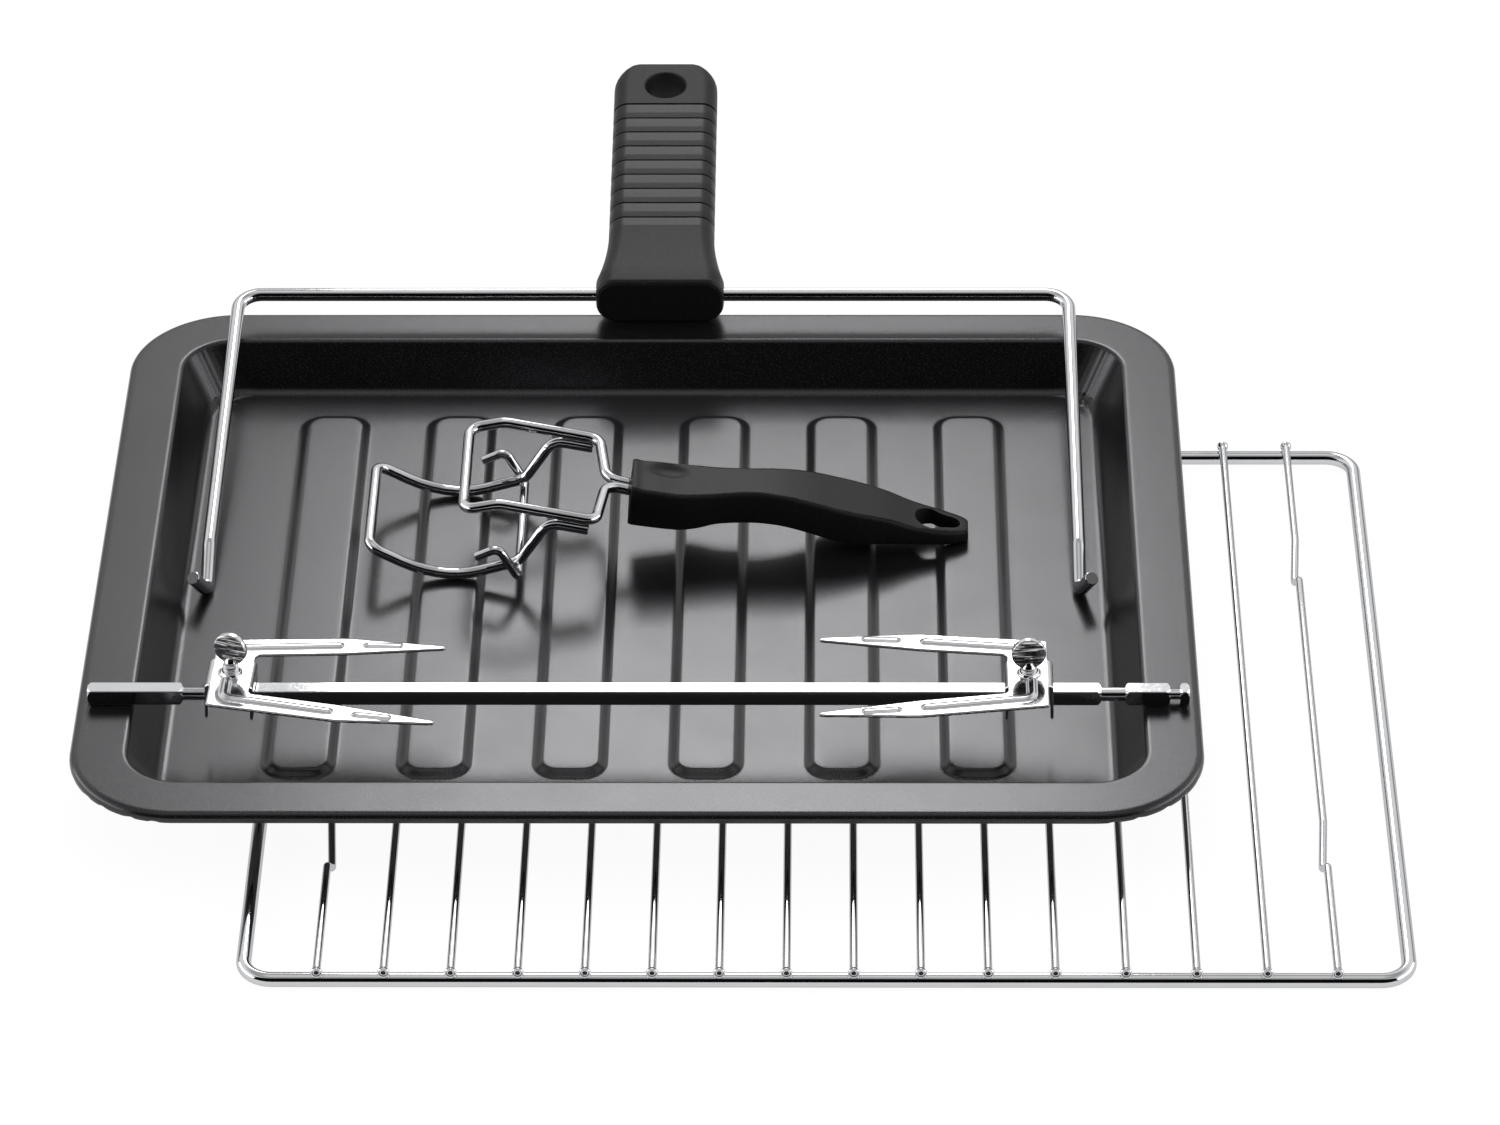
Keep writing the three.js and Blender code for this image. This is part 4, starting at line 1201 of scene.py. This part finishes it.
class OVENSET_OT_gripper_wires(bpy.types.Operator):
    """Build the tray gripper's two loops and its hook wire"""
    bl_idname = "oven_set.gripper_wires"
    bl_label = "Gripper Wires"

    def both_sides(self, half_route):
        """A route on the far side, and back along the near side: place and bend in millimetres."""
        far = [(x * MM, y * MM, z * MM, bend * MM) for x, y, z, bend in half_route]
        near = [(x, -y, z, bend) for x, y, z, bend in reversed(far)]
        return far + near

    def build_wire(self, name, node, route, size, sides, chrome):
        piece = start_piece(name)
        bend_wire(self.both_sides(route), size, sides=sides, steps=10)
        cut_ends(piece)
        # The cut ends are painted three-quarters near-black, as bare steel and painted shade.
        mark_bare_and_painted_shade(piece, 0.75)
        face_out()
        place(piece, GRIPPER_PLACE)
        finish(piece, chrome, "gripper", [node])

    def execute(self, context):
        values = settings("tools")
        chrome = chrome_finish("tool_plating")
        half, out = LOOP_HALF, LOOP_HALF + HOOK_OUT
        stem = values.loop_wire / MM / 2 + 0.15     # the upper loop's ends, beside each other
        weld = values.loop_wire / MM + 0.39         # the lower loop hangs under the upper one
        upper = [(8.2, stem, 16.8, 0), (-15, stem, 22.6, 6), (-18.2, half, 23.6, 5),
                 (-54, half, 31.2, 10), (-67.3, half, 28.6, 5)]
        lower = [(-21, half, 24.2 - weld, 0), (-36, half, 27.38 - weld, 7), (-47.2, half, 5.5, 9),
                 (-69.5, half, -1, 45), (-85, half, 2, 45), (-103, half, 12, 5)]
        hook = [(-63, out, 10.6, 0), (-54.5, out, 14.6, 3.2), (-47.2, out, 1.23, 2.6)]
        for name, node, route, size, sides in (
                ("gripper_upper_wire", "gripper_upper_loop", upper, values.loop_wire, 20),
                ("gripper_lower_wire", "gripper_lower_loop", lower, values.loop_wire, 20),
                ("gripper_hook_rod", "gripper_hook_wire", hook, values.hook_wire, 18)):
            self.build_wire(name, node, route, size, sides, chrome)
        return {"FINISHED"}


HOLE_X = 107.4 * MM              # middle of the hanging hole's round part
HOLE_ROUND, HOLE_REACH = 6.5 * MM, 10.6 * MM
HOLE_PINCH = 0.28
HANDLE_SECTIONS = (
    # place along the handle, underside, top and width, in millimetres
    (-4.8, 12.2, 28.4, 20.6), (-4.0, 11.8, 28.7, 21.4), (-1.5, 11.4, 27.8, 21.9),
    (4.2, 10.6, 27.0, 22.6), (12.2, 9.9, 25.8, 23.0), (19.2, 10.4, 25.4, 22.2),
    (26.2, 11.6, 25.2, 20.2), (39.2, 11.5, 25.3, 18.2), (50.2, 10.8, 24.6, 20.2),
    (61.2, 8.4, 22.6, 23.0), (71.2, 5.2, 19.8, 24.4), (79.2, 3.8, 17.6, 24.2),
    (90.2, 3.0, 14.4, 21.6), (100.2, 2.2, 10.2, 19.4), (112.0, 0.8, 7.0, 15.6),
    (118.0, 0.1, 5.8, 11.4), (120.4, 0.3, 5.2, 8.4), (121.0, 1.0, 4.5, 7.0),
)


def smooth_between(table, places):
    """Values of a table at other places along it, on a curve through its rows."""
    rows = []
    last = len(table) - 1
    for spot in places:
        index = max(i for i in range(last) if table[i][0] <= spot or i == 0)
        before, start = table[max(index - 1, 0)], table[index]
        end, after = table[index + 1], table[min(index + 2, last)]
        span = end[0] - start[0]
        t = min(max((spot - start[0]) / span, 0), 1)
        row = [spot]
        for column in range(1, len(start)):
            slope_start = (end[column] - before[column]) / (end[0] - before[0]) * span
            slope_end = (after[column] - start[column]) / (after[0] - start[0]) * span
            row.append((2 * t ** 3 - 3 * t ** 2 + 1) * start[column]
                       + (t ** 3 - 2 * t ** 2 + t) * slope_start
                       + (3 * t ** 2 - 2 * t ** 3) * end[column] + (t ** 3 - t ** 2) * slope_end)
        rows.append(row)
    return rows


class OVENSET_OT_gripper_handle(bpy.types.Operator):
    """Build the tray gripper's moulded handle with its thumb rest and hanging hole"""
    bl_idname = "oven_set.gripper_handle"
    bl_label = "Gripper Handle"

    def execute(self, context):
        values = settings("tools")
        piece = start_piece("gripper_moulded_handle")
        places = [-4.8, -4.4, -3.8, -3] + [-2 + step for step in range(22)]
        places += [21.5 + 2.4 * step for step in range(38)]
        places += [112, 114, 116, 117.5, 118.8, 119.8, 120.5, 121]
        rows = smooth_between(HANDLE_SECTIONS, places)
        x, under, top, width = rows[0]
        base = -values.loop_wire / MM / 2
        centre_z = (under + top) / 2 + base
        fresh(bpy.ops.mesh.primitive_plane_add, size=1)
        reshape(piece, lambda spot: Vector(
            (x, spot.x * width, centre_z + spot.y * (top - under))) * MM)
        select(piece, "EDGE", lambda edge: all(v.co.z > centre_z * MM for v in edge.verts))
        bpy.ops.mesh.subdivide(number_cuts=21)
        select(piece, "FACE", lambda face: True)
        for next_x, next_under, next_top, next_width in rows[1:]:
            next_z = (next_under + next_top) / 2 + base
            push(Vector((next_x - x, 0, next_z - centre_z)) * MM,
                 (1, next_width / width, (next_top - next_under) / (top - under)),
                 Vector((next_x, 0, next_z)) * MM)
            x, under, top, width, centre_z = next_x, next_under, next_top, next_width, next_z
        face_out()
        self.press_thumb_rest(piece, values.dimple)
        bevel(piece, self.long_corner, 1.6 * MM, 4)
        carve(piece, self.teardrop())
        round_edges(piece, 0.45 * MM, 55)
        place(piece, GRIPPER_PLACE)
        finish(piece, moulding_finish("handle_moulding", 2600, 0.05 * MM), "gripper",
               ["gripper_handle"], smooth=40)
        return {"FINISHED"}

    def long_corner(self, edge):
        """True for the four corner edges that run along the handle."""
        if len(edge.link_faces) != 2:
            return False
        along = (edge.verts[0].co - edge.verts[1].co).normalized()
        return abs(along.x) > 0.4 and edge.link_faces[0].normal.angle(edge.link_faces[1].normal) > 1

    def press_thumb_rest(self, piece, depth):
        """A shallow oval dish on top; the handle's end leans back towards its underside."""
        def press(spot):
            x, y, z = spot / MM
            if z > 18 and abs(y) < 9.9:
                reach = ((x - 8.5) / 6.5) ** 2 + ((y - 5.2) / 3.6) ** 2
                spot.z -= depth * math.exp(-reach ** 2)
            if x < 4:
                low = min(1, max(0, (28 - z) / 16))
                spot.x -= 2.2 * MM * low * (4 - x) / 8.8
            return spot

        reshape(piece, press)

    def teardrop(self):
        """The hanging hole: round towards the handle's middle, narrow at its end."""
        tool = start_piece("teardrop_tool")
        disc(56, HOLE_ROUND, (HOLE_X, 0, -8 * MM))

        def draw_in(spot):
            share = (spot.x - HOLE_X) / HOLE_ROUND
            if share > 0:
                spot.x = HOLE_X + HOLE_REACH * share
                spot.y *= 1 - HOLE_PINCH * math.sin(share * math.pi)
            return spot

        reshape(tool, draw_in)
        push((0, 0, 40 * MM))
        face_out()
        return tool


# ---- Stage ------------------------------------------------------------------------------

CAMERA_PLACE = Vector((0.070614, -2.092584, 1.438714))
CAMERA_DOWN, CAMERA_YAW, CAMERA_ROLL = 34.26736, -0.85951, -0.46579     # degrees
CAMERA_LENS = 163.2
FLOOR_GLOW = 0.9      # how much of the table's colour is its own white
WALL_BANDS = (        # how bright the walls are, by height from level to overhead
    (0.0, 0.28), (0.14, 0.3), (0.34, 1.0), (0.66, 1.0), (0.84, 0.45), (0.92, 0.45), (1.0, 0.8))


class OVENSET_OT_stage(bpy.types.Operator):
    """Set up the pale table, the soft studio light and the camera"""
    bl_idname = "oven_set.stage"
    bl_label = "Studio Stage"

    def execute(self, context):
        values = settings("stage")
        self.add_floor(values)
        self.add_world(values)
        for lamp in (
                ("softbox_behind", (0.005, 1.15, 1.07), (0.005, 0, 0), 0.48, 0.62, values.softbox),
                ("softbox_left", (-1.3, -0.1, 0.32), (0, 0.05, 0.05), 1.7, 0.5, values.sides),
                ("softbox_right", (1.3, -0.1, 0.32), (0, 0.05, 0.05), 1.7, 0.5, values.sides),
                ("lamp_overhead", (0, 0.1, 2.2), (0, 0, 0), 1.2, 1.2, values.fill)):
            self.add_lamp(*lamp)
        self.add_camera()
        context.scene.view_settings.view_transform = "Standard"
        return {"FINISHED"}

    def add_floor(self, values):
        floor = start_piece("table")
        fresh(bpy.ops.mesh.primitive_plane_add, size=12, location=(0, 0, GROUND - 0.05 * MM))
        bpy.ops.object.mode_set(mode="OBJECT")
        material, tree, shader = new_material("pale_table")
        feed(shader, {"Base Color": (*values.floor, 1), "Roughness": 0.8})
        path = add_node(tree, "ShaderNodeLightPath").outputs
        seen = calculate(tree, "MAXIMUM", path["Is Camera Ray"], path["Is Glossy Ray"])
        seen = calculate(tree, "MAXIMUM", seen, path["Is Transmission Ray"])
        white = add_node(tree, "ShaderNodeEmission", {"Color": (1, 1, 1, 1), "Strength": 1.05})
        glow = calculate(tree, "MULTIPLY", seen, FLOOR_GLOW)
        mixed = add_node(tree, "ShaderNodeMixShader",
                         {0: glow, 1: shader.outputs[0], 2: white.outputs[0]})
        feed(tree.nodes["Material Output"], {"Surface": mixed.outputs[0]})
        floor.data.materials.append(material)

    def add_world(self, values):
        """Pale walls behind and beside the set, and an unlit room in front of it."""
        world = bpy.data.worlds.new("studio")
        bpy.context.scene.world = world
        world.use_nodes = True
        tree = world.node_tree
        where = add_node(tree, "ShaderNodeTexCoord").outputs["Generated"]
        axes = add_node(tree, "ShaderNodeSeparateXYZ", {0: where}).outputs
        behind = calculate(tree, "MULTIPLY_ADD", axes["Z"], 0.65, axes["Y"])
        ramp = add_node(tree, "ShaderNodeValToRGB", {"Fac": axes["Z"]})
        for _ in WALL_BANDS[2:]:
            ramp.color_ramp.elements.new(0.5)
        for stop, (height, level) in zip(ramp.color_ramp.elements, WALL_BANDS):
            stop.position = height
            stop.color = (level, level, level, 1)
        wall = calculate(tree, "MULTIPLY", ramp.outputs["Color"], values.surround)
        shade = remap(tree, behind, -0.12, 0.04, values.front, wall, interpolation_type="SMOOTHSTEP")
        feed(tree.nodes["Background"], {"Color": (1, 1, 1, 1), "Strength": shade})

    def add_lamp(self, name, spot, target, width, height, watts):
        """A rectangular softbox at a spot, facing its target."""
        light = bpy.data.lights.new(name, "AREA")
        light.shape = "RECTANGLE"
        light.size, light.size_y = width, height
        light.energy = watts
        lamp = bpy.data.objects.new(name, light)
        lamp.location = spot
        lamp.rotation_euler = (Vector(spot) - Vector(target)).to_track_quat("Z", "Y").to_euler()
        bpy.context.scene.collection.objects.link(lamp)

    def add_camera(self):
        """Looks down at the tray from in front, from about two and a half metres away."""
        down, yaw, roll = (math.radians(angle) for angle in (CAMERA_DOWN, CAMERA_YAW, CAMERA_ROLL))
        level = Vector((math.cos(yaw), -math.sin(yaw), 0))
        forward = Vector((math.sin(yaw) * math.cos(down), math.cos(yaw) * math.cos(down),
                          -math.sin(down)))
        upright = level.cross(forward)
        right = level * math.cos(roll) + upright * math.sin(roll)
        up = upright * math.cos(roll) - level * math.sin(roll)
        lens = bpy.data.cameras.new("camera")
        lens.sensor_width = 36
        lens.lens = CAMERA_LENS
        camera = bpy.data.objects.new("camera", lens)
        turned = Matrix((right, up, -forward)).transposed().to_4x4()
        camera.matrix_world = Matrix.Translation(CAMERA_PLACE) @ turned
        bpy.context.scene.collection.objects.link(camera)
        bpy.context.scene.camera = camera


# ---- Add-on -----------------------------------------------------------------------------

OPERATORS = (
    OVENSET_OT_wire_rack,
    OVENSET_OT_baking_tray,
    OVENSET_OT_spit,
    OVENSET_OT_forks,
    OVENSET_OT_thumbscrews,
    OVENSET_OT_lifter,
    OVENSET_OT_gripper_wires,
    OVENSET_OT_gripper_handle,
    OVENSET_OT_stage,
)


class OVENSET_PT_panel(bpy.types.Panel):
    """Lists the pieces of the set and their settings"""
    bl_idname = "OVENSET_PT_panel"
    bl_label = "Oven Accessory Set"
    bl_space_type = "VIEW_3D"
    bl_region_type = "UI"
    bl_category = "Oven Set"

    def draw(self, context):
        layout = self.layout
        for operator in OPERATORS:
            layout.operator(operator.bl_idname)
        for part, group in SETTINGS.items():
            box = layout.box()
            box.label(text=group.__name__.replace("Settings", ""))
            for key in group.__annotations__:
                box.prop(getattr(context.scene, part), key)


def register():
    for cls in (*SETTINGS.values(), *OPERATORS, OVENSET_PT_panel):
        bpy.utils.register_class(cls)
    for part, group in SETTINGS.items():
        setattr(bpy.types.Scene, part, bpy.props.PointerProperty(type=group))


def unregister():
    for part in SETTINGS:
        delattr(bpy.types.Scene, part)
    for cls in reversed((*SETTINGS.values(), *OPERATORS, OVENSET_PT_panel)):
        bpy.utils.unregister_class(cls)


def main():
    register()
    bpy.ops.oven_set.wire_rack()
    bpy.ops.oven_set.baking_tray()
    bpy.ops.oven_set.spit()
    bpy.ops.oven_set.forks()
    bpy.ops.oven_set.thumbscrews()
    bpy.ops.oven_set.lifter()
    bpy.ops.oven_set.gripper_wires()
    bpy.ops.oven_set.gripper_handle()
    bpy.ops.oven_set.stage()


if __name__ == "__main__":
    main()
